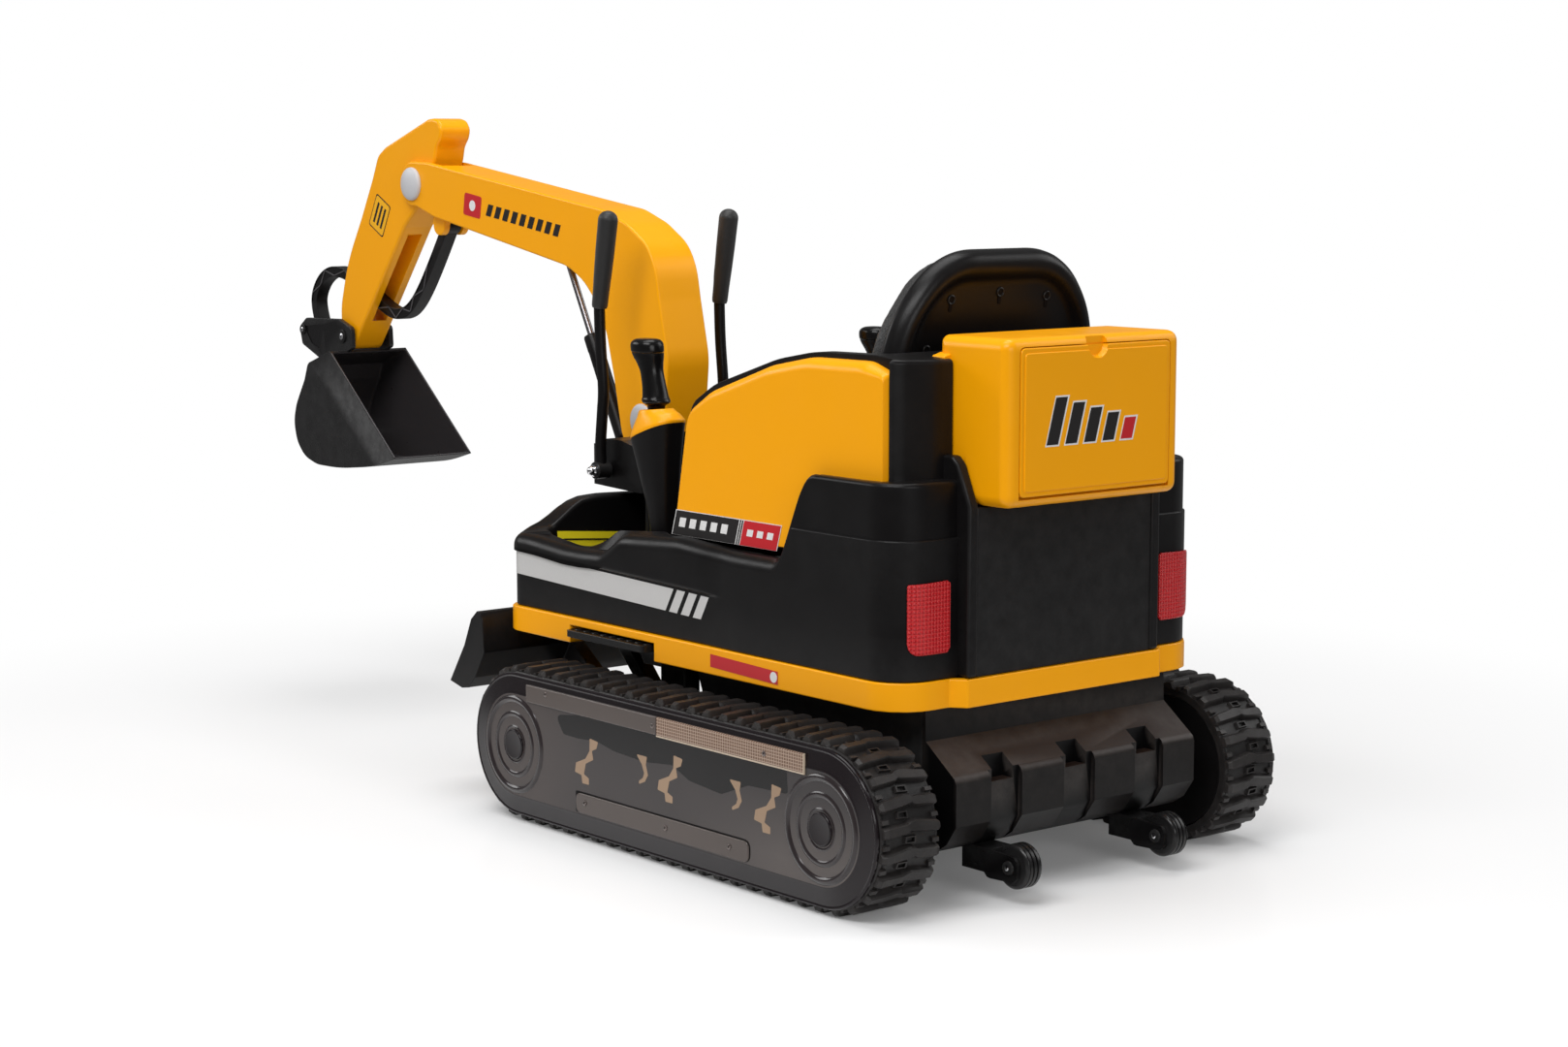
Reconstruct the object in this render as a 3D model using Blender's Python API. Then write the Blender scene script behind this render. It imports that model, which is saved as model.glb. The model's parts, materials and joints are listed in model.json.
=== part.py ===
"""Ride on digger: a tracked toy excavator for one child.

Metres, +Z up. The bucket points along -Y, the trunk along +Y, and the driver's left is +X. The
lengths along Y below are measured from the middle of the tracks. The finished object is then moved
back by TRACKS_MIDDLE, which puts its origin on the ground under the middle of its whole length.
"""
from math import cos, hypot, pi, radians, sin

import bmesh
import bpy
from mathutils import Vector

GAP = 0.0003
TRACKS_MIDDLE = 0.412625

# Tracks
TRACK_IN, TRACK_OUT, BELT_OUT = 0.214, 0.300, 0.2905
HUB_Z = 0.0905
HUB_FRONT, HUB_REAR = -0.2775, 0.266
BELT_RADIUS, LUG_HEIGHT, BELT_THICK = 0.0905, 0.0075, 0.0085
LUG_COUNT, LUG_SHARE = 60, 0.50
INNER_RADIUS = BELT_RADIUS - LUG_HEIGHT - BELT_THICK
PLATE_RADIUS, COVER_RADIUS = INNER_RADIUS - 0.001, 0.0825
WHEEL_RADIUS = INNER_RADIUS - 0.002
SHAFT_RADIUS, ROLLER_PEG = 0.010, 0.006
ROLLER_RADIUS, ROLLER_Y = 0.028, (-0.11, 0.10)
ROLLER_Z = HUB_Z - INNER_RADIUS + ROLLER_RADIUS + 0.001

# Undercarriage
CHASSIS_HALF, CHASSIS_REAR, WALL = 0.177, 0.284, 0.004
CHASSIS_TOP, TUB_FLOOR = 0.2017, 0.052
CASTER_X, CASTER_Y, CASTER_Z, CASTER_RADIUS = 0.109, 0.359, 0.041, 0.0235
BLADE_HALF = 0.250

# House
SKIRT_BOTTOM, SKIRT_TOP, TUB_TOP = 0.202, 0.232, 0.4355
HOUSE_HALF, HOUSE_FRONT, HOUSE_REAR, HOUSE_CORNER = 0.2255, -0.4055, 0.299, 0.046
FRONT_HALF, FRONT_CORNER = 0.2225, 0.030
REAR_PANEL_HALF, REAR_PANEL_PROUD = 0.141, 0.015
FLOOR_TOP, DECK_TOP = 0.241, 0.351
PANEL_IN, PANEL_OUT = 0.190, 0.207
TRUNK_HALF, TRUNK_TOP, TRUNK_BOTTOM = 0.127, 0.580, 0.408
TRUNK_FRONT, TRUNK_REAR, TRUNK_ROOM = 0.249, 0.353, 0.0015
DOOR_HALF, DOOR_BOTTOM, DOOR_TOP, DOOR_THICK = 0.109, 0.419, 0.570, 0.006
DOOR_HINGE = (0.3505, 0.4235)
SEAT_LEAN, SEAT_LEAN_FOOT = 0.15, 0.45

# Digging gear, as (y, z) of each pivot
BOOM_HALF, ARM_HALF, CAP_RADIUS = 0.0325, 0.024, 0.021
BOOM_BASE, BOOM_TIP = (-0.384, 0.440), (-0.896, 0.723)
BUCKET_PIVOT, LINK_LOW, LINK_HIGH = (-1.080, 0.509), (-1.188, 0.514), (-0.851, 0.6685)
STRUT_TOP, STRUT_FOOT = (-0.585, 0.635), (-0.457, 0.395)
PIN_RADIUS, LINK_PIN_RADIUS, STRUT_PIN_RADIUS = 0.006, 0.0045, 0.0035
BUCKET_HALF, BRACKET_OUT = 0.0625, 0.0345
LEVER_X, LEVER_PIVOT = 0.092, (-0.384, 0.384)
STICK_X, STICK_PIVOT = 0.172, (-0.1695, 0.479)


# ---------------------------------------------------------------- materials
def material(name, colour, roughness, metallic=0.0):
    made = bpy.data.materials.new(name)
    made.use_nodes = True
    shader = made.node_tree.nodes["Principled BSDF"]
    shader.inputs["Base Color"].default_value = (*colour, 1.0)
    shader.inputs["Roughness"].default_value = roughness
    shader.inputs["Metallic"].default_value = metallic
    return made


# ---------------------------------------------------------------- solids
def finish(name, bm, mat):
    bmesh.ops.recalc_face_normals(bm, faces=bm.faces)
    mesh = bpy.data.meshes.new(name)
    bm.to_mesh(mesh)
    bm.free()
    mesh.shade_smooth()
    mesh.set_sharp_from_angle(angle=radians(35))
    made = bpy.data.objects.new(name, mesh)
    bpy.context.scene.collection.objects.link(made)
    mesh.materials.append(mat)
    return made


def at(axis, along, a, b):
    return {"X": (along, a, b), "Y": (a, along, b), "Z": (a, b, along)}[axis]


def loft(name, sections, mat):
    """Closed solid through equal loops of points, capped at both ends."""
    bm = bmesh.new()
    loops = [[bm.verts.new(point) for point in section] for section in sections]
    for low, high in zip(loops, loops[1:]):
        for i in range(len(low)):
            bm.faces.new((low[i - 1], low[i], high[i], high[i - 1]))
    bm.faces.new(loops[0])
    bm.faces.new(loops[-1])
    return finish(name, bm, mat)


def prism(name, outline, axis, low, high, mat):
    return loft(name, [[at(axis, t, a, b) for a, b in outline] for t in (low, high)], mat)


def block(name, x, y, z, mat):
    outline = [(x[0], y[0]), (x[1], y[0]), (x[1], y[1]), (x[0], y[1])]
    return prism(name, outline, "Z", z[0], z[1], mat)


def turned(name, profile, start, direction, mat, steps=24, ring=False):
    """Solid of revolution: profile holds (radius, distance) along direction from start."""
    bm = bmesh.new()
    turn = Vector(direction).to_track_quat("Z", "Y")
    rings = []
    for radius, along in profile:
        count = steps if radius > 1e-6 else 1
        rings.append([])
        for k in range(count):
            angle = 2 * pi * (k + 0.5) / steps
            spot = Vector((radius * cos(angle), radius * sin(angle), along))
            rings[-1].append(bm.verts.new(Vector(start) + turn @ spot))
    pairs = list(zip(rings, rings[1:])) + ([(rings[-1], rings[0])] if ring else [])
    for low, high in pairs:
        for k in range(steps):
            corners = [low[(k - 1) % len(low)], low[k % len(low)],
                       high[k % len(high)], high[(k - 1) % len(high)]]
            bm.faces.new(list(dict.fromkeys(corners)))
    return finish(name, bm, mat)


def rod(name, radius, x, spot, mat, steps=24):
    """Cylinder along X between the two x values, centred on spot (y, z)."""
    length = x[1] - x[0]
    profile = [(0, 0), (radius, 0), (radius, length), (0, length)]
    return turned(name, profile, (x[0], *spot), (1, 0, 0), mat, steps)


def bar(name, path, radii, mat, sides=12):
    """Round bar through the points of path, with a radius at each."""
    sections = []
    for i, (point, radius) in enumerate(zip(path, radii)):
        ahead = Vector(path[min(i + 1, len(path) - 1)]) - Vector(path[max(i - 1, 0)])
        across = Vector((1, 0, 0))
        across = (across - ahead * (across.dot(ahead) / ahead.length_squared)).normalized()
        away = ahead.normalized().cross(across)
        loop = []
        for k in range(sides):
            angle = 2 * pi * k / sides
            loop.append(Vector(point) + (across * cos(angle) + away * sin(angle)) * radius)
        sections.append(loop)
    return loft(name, sections, mat)


def bake(made):
    graph = bpy.context.evaluated_depsgraph_get()
    mesh = bpy.data.meshes.new_from_object(made.evaluated_get(graph))
    mat = made.data.materials[0]
    made.modifiers.clear()
    made.data = mesh
    mesh.materials.clear()
    mesh.materials.append(mat)
    mesh.shade_smooth()
    mesh.set_sharp_from_angle(angle=radians(35))


def combine(made, others, operation):
    for other in others:
        step = made.modifiers.new("combine", "BOOLEAN")
        step.operation = operation
        step.solver = "EXACT"
        step.object = other
        bpy.context.view_layer.update()
        bake(made)
        bpy.data.objects.remove(other)
    return made


def cut(made, *cutters):
    return combine(made, cutters, "DIFFERENCE")


def join(made, *others):
    return combine(made, others, "UNION")


def soften(made, width, segments=2, angle=40):
    step = made.modifiers.new("soften", "BEVEL")
    step.width = width
    step.segments = segments
    step.limit_method = "ANGLE"
    step.angle_limit = radians(angle)
    bpy.context.view_layer.update()
    bake(made)
    return made


def twin(made):
    """The right-hand piece: a mirror image of a left-hand one."""
    mesh = made.data.copy()
    for vertex in mesh.vertices:
        vertex.co.x = -vertex.co.x
    mesh.flip_normals()
    other = bpy.data.objects.new(made.name.replace("_left", "_right"), mesh)
    bpy.context.scene.collection.objects.link(other)
    return other


# ---------------------------------------------------------------- outlines
def arc(centre, radius, start, end, steps):
    """Points on an arc, angles in degrees."""
    turn = [radians(start + (end - start) * k / steps) for k in range(steps + 1)]
    return [(centre[0] + radius * cos(t), centre[1] + radius * sin(t)) for t in turn]


def filleted(corners, radius, steps=3):
    """Outline whose corners are rounded; a corner may carry its own radius."""
    points = []
    for i, corner in enumerate(corners):
        here = Vector(corner[:2])
        back = (Vector(corners[i - 1][:2]) - here).normalized()
        ahead = (Vector(corners[(i + 1) % len(corners)][:2]) - here).normalized()
        size = corner[2] if len(corner) > 2 else radius
        half = back.angle(ahead) / 2
        if size <= 0 or half > radians(86):
            points.append(tuple(here))
            continue
        reach = size / abs(sin(half)) * cos(half)
        start, end = here + back * reach, here + ahead * reach
        middle = here + (back + ahead).normalized() * (size / sin(half))
        for k in range(steps + 1):
            spot = start.lerp(end, k / steps) - middle
            points.append(tuple(middle + spot.normalized() * size))
    return points


def rounded_box(half_width, half_height, radius, centre=(0, 0), steps=3):
    x, y = centre
    corners = [(x - half_width, y - half_height), (x + half_width, y - half_height),
               (x + half_width, y + half_height), (x - half_width, y + half_height)]
    return filleted(corners, radius, steps)


def stadium(radius, steps=12):
    return (arc((HUB_REAR, HUB_Z), radius, -90, 90, steps)
            + arc((HUB_FRONT, HUB_Z), radius, 90, 270, steps))


def belt_point(share, radius):
    """Point at this share of the way round the belt, this far from the hub line."""
    straight, bend = HUB_REAR - HUB_FRONT, pi * BELT_RADIUS
    way = (share % 1.0) * 2 * (straight + bend)
    if way < straight:
        return HUB_FRONT + way, HUB_Z - radius
    way -= straight
    if way < bend:
        return arc((HUB_REAR, HUB_Z), radius, -90 + 180 * way / bend, 0, 1)[0]
    way -= bend
    if way < straight:
        return HUB_REAR - way, HUB_Z + radius
    return arc((HUB_FRONT, HUB_Z), radius, 90 + 180 * (way - straight) / bend, 0, 1)[0]


def house_outline(inset=0.0, rear_panel=True):
    """Plan of the house, counter-clockwise from the front right corner."""
    front, rear, half = HOUSE_FRONT + inset, HOUSE_REAR - inset, HOUSE_HALF - inset
    corner = HOUSE_CORNER - inset
    nose = FRONT_CORNER - inset
    corners = [(-FRONT_HALF + inset, front, nose), (FRONT_HALF - inset, front, nose),
               (half, 0.05, 0.2), (half, rear, corner)]
    if rear_panel:
        edge, proud = REAR_PANEL_HALF - inset, rear + REAR_PANEL_PROUD
        corners += [(edge + 0.012, rear, 0), (edge, proud, 0.004),
                    (-edge, proud, 0.004), (-edge - 0.012, rear, 0)]
    corners += [(-half, rear, corner), (-half, 0.05, 0.2)]
    return filleted(corners, corner, 5)


# ---------------------------------------------------------------- undercarriage
def track_belt(mat):
    base = BELT_RADIUS - LUG_HEIGHT
    outline = []
    for k in range(LUG_COUNT):
        for share, radius in ((0.0, base), (0.06, BELT_RADIUS), (LUG_SHARE, BELT_RADIUS),
                              (LUG_SHARE + 0.06, base)):
            outline.append(belt_point((k + share) / LUG_COUNT, radius))
    belt = prism("track_belt_left", outline, "X", TRACK_IN, BELT_OUT, mat)
    hollow = prism("hollow", stadium(INNER_RADIUS, 12), "X", TRACK_IN - 0.01, TRACK_OUT + 0.01, mat)
    return cut(belt, hollow)


def track_frame(mat):
    """Inner plate with the idler peg, two roller pegs and two arms to the chassis."""
    plate = prism("track_frame_left", stadium(PLATE_RADIUS), "X", TRACK_IN + 0.001, 0.2195, mat)
    hub = (HUB_FRONT, HUB_Z)
    parts = [rod("peg", SHAFT_RADIUS, (0.217, 0.2905), hub, mat)]
    for y in ROLLER_Y:
        parts.append(rod("peg", ROLLER_PEG, (0.217, 0.2905), (y, ROLLER_Z), mat, 16))
    for y in ((-0.25, -0.12), (0.02, 0.16)):
        parts.append(block("arm", (CHASSIS_HALF + GAP, 0.217), y, (0.066, 0.100), mat))
    join(plate, *parts)
    return cut(plate, rod("bore", SHAFT_RADIUS + 0.0006, (0.20, 0.24), (HUB_REAR, HUB_Z), mat))


def track_cover(mat):
    """Outer cover: a plate with a ring and a knob at each hub and two long raised bars."""
    face, low = TRACK_OUT - 0.0040, TRACK_OUT - 0.0090
    plate = prism("track_cover_left", stadium(COVER_RADIUS, 12), "X", low, face, mat)
    parts = []
    for y in (HUB_FRONT, HUB_REAR):
        ring = [(0.048, 0), (0.057, 0), (0.055, 0.0068), (0.050, 0.0068)]
        parts.append(turned("ring", ring, (low + 0.001, y, HUB_Z), (1, 0, 0), mat, 20, ring=True))
        knob = [(0, 0), (0.020, 0), (0.017, 0.0080), (0, 0.0080)]
        parts.append(turned("knob", knob, (low + 0.001, y, HUB_Z), (1, 0, 0), mat, 14))
    for y, z in (((-0.2515, 0.240), (0.1440, 0.1650)), ((-0.157, 0.153), (0.0335, 0.0575))):
        outline = rounded_box((y[1] - y[0]) / 2, (z[1] - z[0]) / 2, 0.006, (sum(y) / 2, sum(z) / 2), 1)
        parts.append(prism("bar", outline, "X", low + 0.001, TRACK_OUT - 0.0022, mat))
    return join(plate, *parts)


def wheel_profile(radius, hub, x, bore=0.0):
    """Half section of a wheel dished on its outer side, as (radius, distance)."""
    width, rim = x[1] - x[0], radius - 0.010
    section = [(radius, 0), (radius, width), (rim, width), (rim, 0.020), (hub, 0.020), (hub, width)]
    return [(bore, 0)] + section + [(bore, width)]


def drive_wheel(mat):
    x = (0.2235, 0.2865)
    profile = wheel_profile(WHEEL_RADIUS, 0.020, x)
    shaft = [(0, -0.0735), (SHAFT_RADIUS, -0.0735), (SHAFT_RADIUS, 0)]
    return turned("drive_wheel_left", shaft + profile[1:], (x[0], HUB_REAR, HUB_Z), (1, 0, 0), mat, 20)


def idler_wheel(mat):
    x = (0.2215, 0.2865)
    profile = wheel_profile(WHEEL_RADIUS, 0.020, x, SHAFT_RADIUS + 0.0004)
    return turned("idler_wheel_left", profile, (x[0], HUB_FRONT, HUB_Z), (1, 0, 0), mat, 20, ring=True)


def road_roller(name, y, mat):
    bore = ROLLER_PEG + 0.0004
    profile = [(bore, 0), (ROLLER_RADIUS, 0), (ROLLER_RADIUS, 0.062), (bore, 0.062)]
    return turned(name, profile, (0.2225, y, ROLLER_Z), (1, 0, 0), mat, 14, ring=True)


def gear_motor(mat):
    """Gearbox with its motor; the drive wheel's shaft ends in the bore."""
    box = block("gear_motor_left", (0.118, 0.1715), (0.205, 0.2785), (0.0585, 0.1225), mat)
    can = rod("can", 0.019, (0.055, 0.120), (0.228, HUB_Z), mat, 16)
    bore = rod("bore", SHAFT_RADIUS + 0.0005, (0.145, 0.19), (HUB_REAR, HUB_Z), mat)
    return cut(join(box, can), bore)


def chassis_frame(mat):
    """Rear tub with a sloped front wall, and a low beam with a cross member in front of it."""
    outline = [(-0.095, CHASSIS_TOP), (-0.035, TUB_FLOOR), (CHASSIS_REAR, TUB_FLOOR),
               (CHASSIS_REAR, CHASSIS_TOP)]
    inner_floor, rear = TUB_FLOOR + WALL, CHASSIS_REAR - WALL
    inner = [(-0.0885, 0.22), (-0.029, inner_floor), (rear, inner_floor), (rear, 0.22)]
    tub = prism("chassis_frame", outline, "X", -CHASSIS_HALF, CHASSIS_HALF, mat)
    half = CHASSIS_HALF - WALL
    cut(tub, prism("inside", inner, "X", -half, half, mat),
        rod("shaft_hole", SHAFT_RADIUS + 0.002, (-0.2, 0.2), (HUB_REAR, HUB_Z), mat))
    beam_half, front, z = 0.110, -0.300, (0.060, 0.104)
    plan = [(-beam_half, front), (beam_half, front), (beam_half, -0.262), (CHASSIS_HALF, -0.262),
            (CHASSIS_HALF, -0.100), (beam_half, -0.100), (beam_half, -0.040), (-beam_half, -0.040),
            (-beam_half, -0.100), (-CHASSIS_HALF, -0.100), (-CHASSIS_HALF, -0.262), (-beam_half, -0.262)]
    beam = prism("beam", plan, "Z", z[0], z[1], mat)
    cut(beam, block("hollow", (-0.104, 0.104), (-0.294, -0.060), (0.04, 0.099), mat))
    return join(tub, beam)


def rear_bumper(mat):
    """Cover behind the chassis: wall, sloped ledge with three notches, face and undercut."""
    start = CHASSIS_REAR + GAP
    outline = [(start, CHASSIS_TOP), (start, 0.056), (0.306, 0.056), (0.322, 0.066), (0.336, 0.086),
               (0.336, 0.130), (0.333, 0.136), (0.290, 0.168), (0.289, CHASSIS_TOP)]
    cover = prism("rear_bumper", outline, "X", -CHASSIS_HALF, CHASSIS_HALF, mat)
    notches = []
    half = 0.017
    for x in (-0.107, 0.0, 0.107):
        notches.append(block("notch", (x - half, x + half), (0.314, 0.35), (0.1255, 0.18), mat))
        notches.append(block("slot", (x - half, x + half), (0.328, 0.35), (0.05, 0.079), mat))
    cut(cover, *notches)
    hollow = [(start - 0.01, 0.150), (start - 0.01, 0.062), (0.300, 0.062), (0.308, 0.070),
              (0.308, 0.120)]
    return cut(cover, prism("hollow", hollow, "X", -CHASSIS_HALF + WALL, CHASSIS_HALF - WALL, mat))


def caster_bracket(mat):
    """Cheek plates either side of the wheel, on a block under the bumper, with the axle peg."""
    y, z = CASTER_Y, CASTER_Z
    top = 0.0555
    x_in, x_out = CASTER_X - 0.016, CASTER_X + 0.016
    stem = block("caster_bracket_left", (x_in, x_out), (0.290, 0.334), (0.030, top), mat)
    cheek = filleted([(0.322, 0.0245), (y + 0.012, 0.0265), (y + 0.013, 0.053), (0.322, top)], 0.009, 3)
    parts = []
    for x in (x_in, x_out - 0.004):
        parts.append(prism("cheek", cheek, "X", x, x + 0.004, mat))
    parts.append(rod("axle", 0.0035, (x_in - 0.003, x_out + 0.003), (y, z), mat, 12))
    cut(stem, block("clearance", (x_in + 0.004, x_out - 0.004), (0.3325, 0.36), (0.01, 0.08), mat))
    return join(stem, *parts)


def caster_wheel(mat):
    bore = 0.0040
    profile = [(bore, 0), (CASTER_RADIUS - 0.004, 0), (CASTER_RADIUS, 0.004),
               (CASTER_RADIUS, 0.018), (CASTER_RADIUS - 0.004, 0.022), (bore, 0.022)]
    return turned("caster_wheel_left", profile, (CASTER_X - 0.011, CASTER_Y, CASTER_Z), (1, 0, 0),
                  mat, 18, ring=True)


def dozer_blade(mat):
    """Curved blade with two arms that bolt under the front beam."""
    outline = [(-0.4242, 0.2222), (-0.4370, 0.2113), (-0.4525, 0.1776), (-0.4844, 0.1299),
               (-0.4588, 0.1242), (-0.4438, 0.1267), (-0.4304, 0.1407), (-0.4098, 0.1737),
               (-0.4128, 0.2127), (-0.4183, 0.2212)]
    blade = prism("dozer_blade", outline, "X", -BLADE_HALF, BLADE_HALF, mat)
    arms = []
    for x in (-0.115, 0.115):
        side = [(-0.419, 0.182), (-0.444, 0.137), (-0.3005, 0.070), (-0.3005, 0.100)]
        arms.append(prism("arm", side, "X", x - 0.009, x + 0.009, mat))
        arms.append(block("foot", (x - 0.014, x + 0.014), (-0.303, -0.255), (0.0535, 0.0597), mat))
        neck = [(-0.312, 0.0535), (-0.3003, 0.0535), (-0.3003, 0.098), (-0.312, 0.102)]
        arms.append(prism("neck", neck, "X", x - 0.014, x + 0.014, mat))
    return join(blade, *arms)


def foot_step(mat):
    """Tread plate in the skirt's notch, on a braced post that stands on the cross member."""
    tread = filleted([(0.150, -0.264), (0.236, -0.262), (0.236, -0.114), (0.150, -0.110)], 0.006, 2)
    plate = prism("foot_step_left", tread, "Z", 0.2115, 0.2195, mat)
    side = [(-0.258, 0.2125), (-0.112, 0.2125), (-0.112, 0.1043), (-0.150, 0.1043)]
    brace = prism("brace", side, "X", 0.156, 0.1765, mat)
    window = [(-0.226, 0.205), (-0.158, 0.205), (-0.158, 0.135)]
    cut(brace, prism("window", window, "X", 0.15, 0.18, mat))
    under = [(-0.165, 0.2125), (-0.118, 0.2125), (-0.118, 0.192), (-0.150, 0.192)]
    return join(plate, brace, prism("outrigger", under, "X", 0.170, 0.206, mat))


# ---------------------------------------------------------------- house
def base_skirt(mat):
    """Pan that closes the house from below, with a notch for each foot step."""
    pan = prism("base_skirt", house_outline(-0.0015), "Z", SKIRT_BOTTOM, SKIRT_TOP - GAP, mat)
    cut(pan, prism("inside", house_outline(0.006), "Z", SKIRT_BOTTOM + 0.004, 0.3, mat))
    notches = []
    for side in (-1, 1):
        x = sorted((side * 0.148, side * 0.26))
        notches.append(block("notch", x, (-0.268, -0.106), (0.19, 0.2225), mat))
    shelves = []
    for side in (-1, 1):
        x = sorted((side * 0.144, side * 0.2195))
        shelves.append(block("shelf", x, (-0.272, -0.102), (0.2055, 0.2255), mat))
    join(pan, *shelves)
    return cut(pan, *notches)


def upper_plan(half, grow=0.0, front=-0.100):
    """Plan of the upper body: straight sides and a rear wall that curves in to the trunk."""
    rear = [(half, 0.2560), (half - 0.004, 0.2620 + grow), (half - 0.016, 0.2680 + grow),
            (0.150, 0.2745 + grow)]
    return [(-half, front), (half, front)] + rear + [(-x, y) for x, y in reversed(rear)]


def lower_body(mat):
    """Black tub: footwell with a thick rim in front, open compartment under the seat."""
    body = prism("lower_body", house_outline(), "Z", SKIRT_TOP, 0.60, mat)
    top = [(-0.5, 0.318), (-0.360, 0.318), (-0.285, 0.3125), (-0.240, 0.3125), (-0.205, 0.337),
           (-0.065, 0.345), (0.100, 0.340), (0.112, 0.351), (0.145, 0.423), (0.160, TUB_TOP),
           (0.4, TUB_TOP), (0.4, 0.7), (-0.5, 0.7)]
    cut(body, prism("above", top, "X", -0.4, 0.4, mat))
    right = [(0.194, 0.310), (0.172, 0.330), (0.150, 0.344), (0.128, 0.3535), (0.100, 0.3563)]
    hump = right + [(-x, z) for x, z in reversed(right)]
    join(body, prism("hump", hump, "Y", HOUSE_FRONT + 0.0035, -0.345, mat))
    well = filleted([(-0.192, -0.372), (0.192, -0.372), (0.1955, -0.090), (-0.1955, -0.090)], 0.028, 4)
    store = filleted([(-0.2015, -0.100, 0.012), (0.2015, -0.100, 0.012), (0.2195, 0.110, 0.012),
                      (0.2195, 0.292, 0.040), (-0.2195, 0.292, 0.040), (-0.2195, 0.110, 0.012)],
                     0.012, 4)
    inlet = PANEL_OUT + 0.0006
    bay = TRUNK_HALF + TRUNK_ROOM
    return cut(body, prism("well", well, "Z", FLOOR_TOP, 0.7, mat),
               prism("store", store, "Z", FLOOR_TOP, 0.322, mat),
               prism("seat_opening", upper_plan(inlet, 0.0006, -0.105), "Z", 0.300, 0.7, mat),
               block("trunk_bay", (-bay, bay), (0.26, 0.4), (TRUNK_BOTTOM - TRUNK_ROOM, 0.7), mat))


def upper_body(mat):
    """Shell around the seat: side walls, deck, rear corner columns and the wall at the trunk."""
    wall = PANEL_IN - GAP
    bottom = DECK_TOP - 0.006
    body = prism("upper_body", upper_plan(PANEL_OUT - 0.001), "Z", bottom, 0.600, mat)
    top = [(-0.12, 0.30), (-0.1030, 0.345), (-0.0830, 0.490), (-0.0400, 0.5145), (0.0680, 0.5480),
           (0.1300, 0.5590), (0.2250, 0.5605), (0.3200, 0.5520), (0.3200, 0.7), (-0.12, 0.7)]
    cut(body, prism("above", top, "X", -0.4, 0.4, mat))
    seat = filleted([(-0.172, -0.15), (0.172, -0.15), (0.172, 0.2200), (-0.172, 0.2200)], 0.02, 3)
    bay = TRUNK_HALF + TRUNK_ROOM
    cut(body, prism("seat_space", seat, "Z", DECK_TOP, 0.7, mat),
        block("trunk_bay", (-bay, bay), (TRUNK_FRONT - TRUNK_ROOM, 0.4), (0.400, 0.7), mat),
        block("panel_seat_left", (wall, 0.3), (-0.2, 0.2563), (0.3, 0.7), mat),
        block("panel_seat_right", (-0.3, -wall), (-0.2, 0.2563), (0.3, 0.7), mat))
    riser_z = (FLOOR_TOP + GAP, DECK_TOP - 0.001)
    return join(body, block("riser", (-0.1800, 0.1800), (-0.0975, -0.0925), riser_z, mat))


def side_panel(mat):
    """Yellow outer skin of the seat side, with a sloped upper facet."""
    side = [(-0.0960, 0.3510), (-0.0720, 0.4840), (-0.0340, 0.5070), (0.0690, 0.5410), (0.1320, 0.5530),
            (0.2230, 0.5540), (0.2557, 0.5430), (0.2557, 0.3510)]
    panel = prism("side_panel_left", side, "X", PANEL_IN, PANEL_OUT, mat)
    return soften(panel, 0.0040, 1, 50)


def seat_cushion(mat):
    outline = rounded_box(0.155, 0.095, 0.03, (0, 0.025), 3)
    pad = prism("seat_cushion", outline, "Z", DECK_TOP + GAP, DECK_TOP + 0.042, mat)
    return soften(pad, 0.010, 2, 50)


def lean_back(made):
    for vertex in made.data.vertices:
        vertex.co.y += (vertex.co.z - SEAT_LEAN_FOOT) * SEAT_LEAN
    return made


def seat_back_half(name, y, inset, mat):
    """One half of the seat back between two y values, leaning back above the deck."""
    half, top = 0.150 - inset, 0.664 - inset
    corners = [(-half, 0.400, 0.02), (half, 0.400, 0.02), (half, 0.590, 0.07), (0.085, top, 0.05),
               (-0.085, top, 0.05), (-half, 0.590, 0.07)]
    made = prism(name, filleted(corners, 0.05, 4), "Y", y[0], y[1], mat)
    return lean_back(soften(made, 0.008, 2, 50))


def seat_back_shell(mat):
    """Rear half of the seat back, dished on its back."""
    shell = seat_back_half("seat_back_shell", (0.1690, 0.1930), 0.0, mat)
    dish = filleted([(-0.105, 0.44), (0.105, 0.44), (0.108, 0.600), (0.080, 0.636), (-0.080, 0.636),
                     (-0.108, 0.600)], 0.02, 2)
    return cut(shell, lean_back(prism("dish", dish, "Y", 0.1880, 0.26, mat)))


def seat_back_pad(mat):
    """Front half of the seat back, against the child's back."""
    return seat_back_half("seat_back_pad", (0.1350, 0.1690 - GAP), 0.001, mat)


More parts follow.
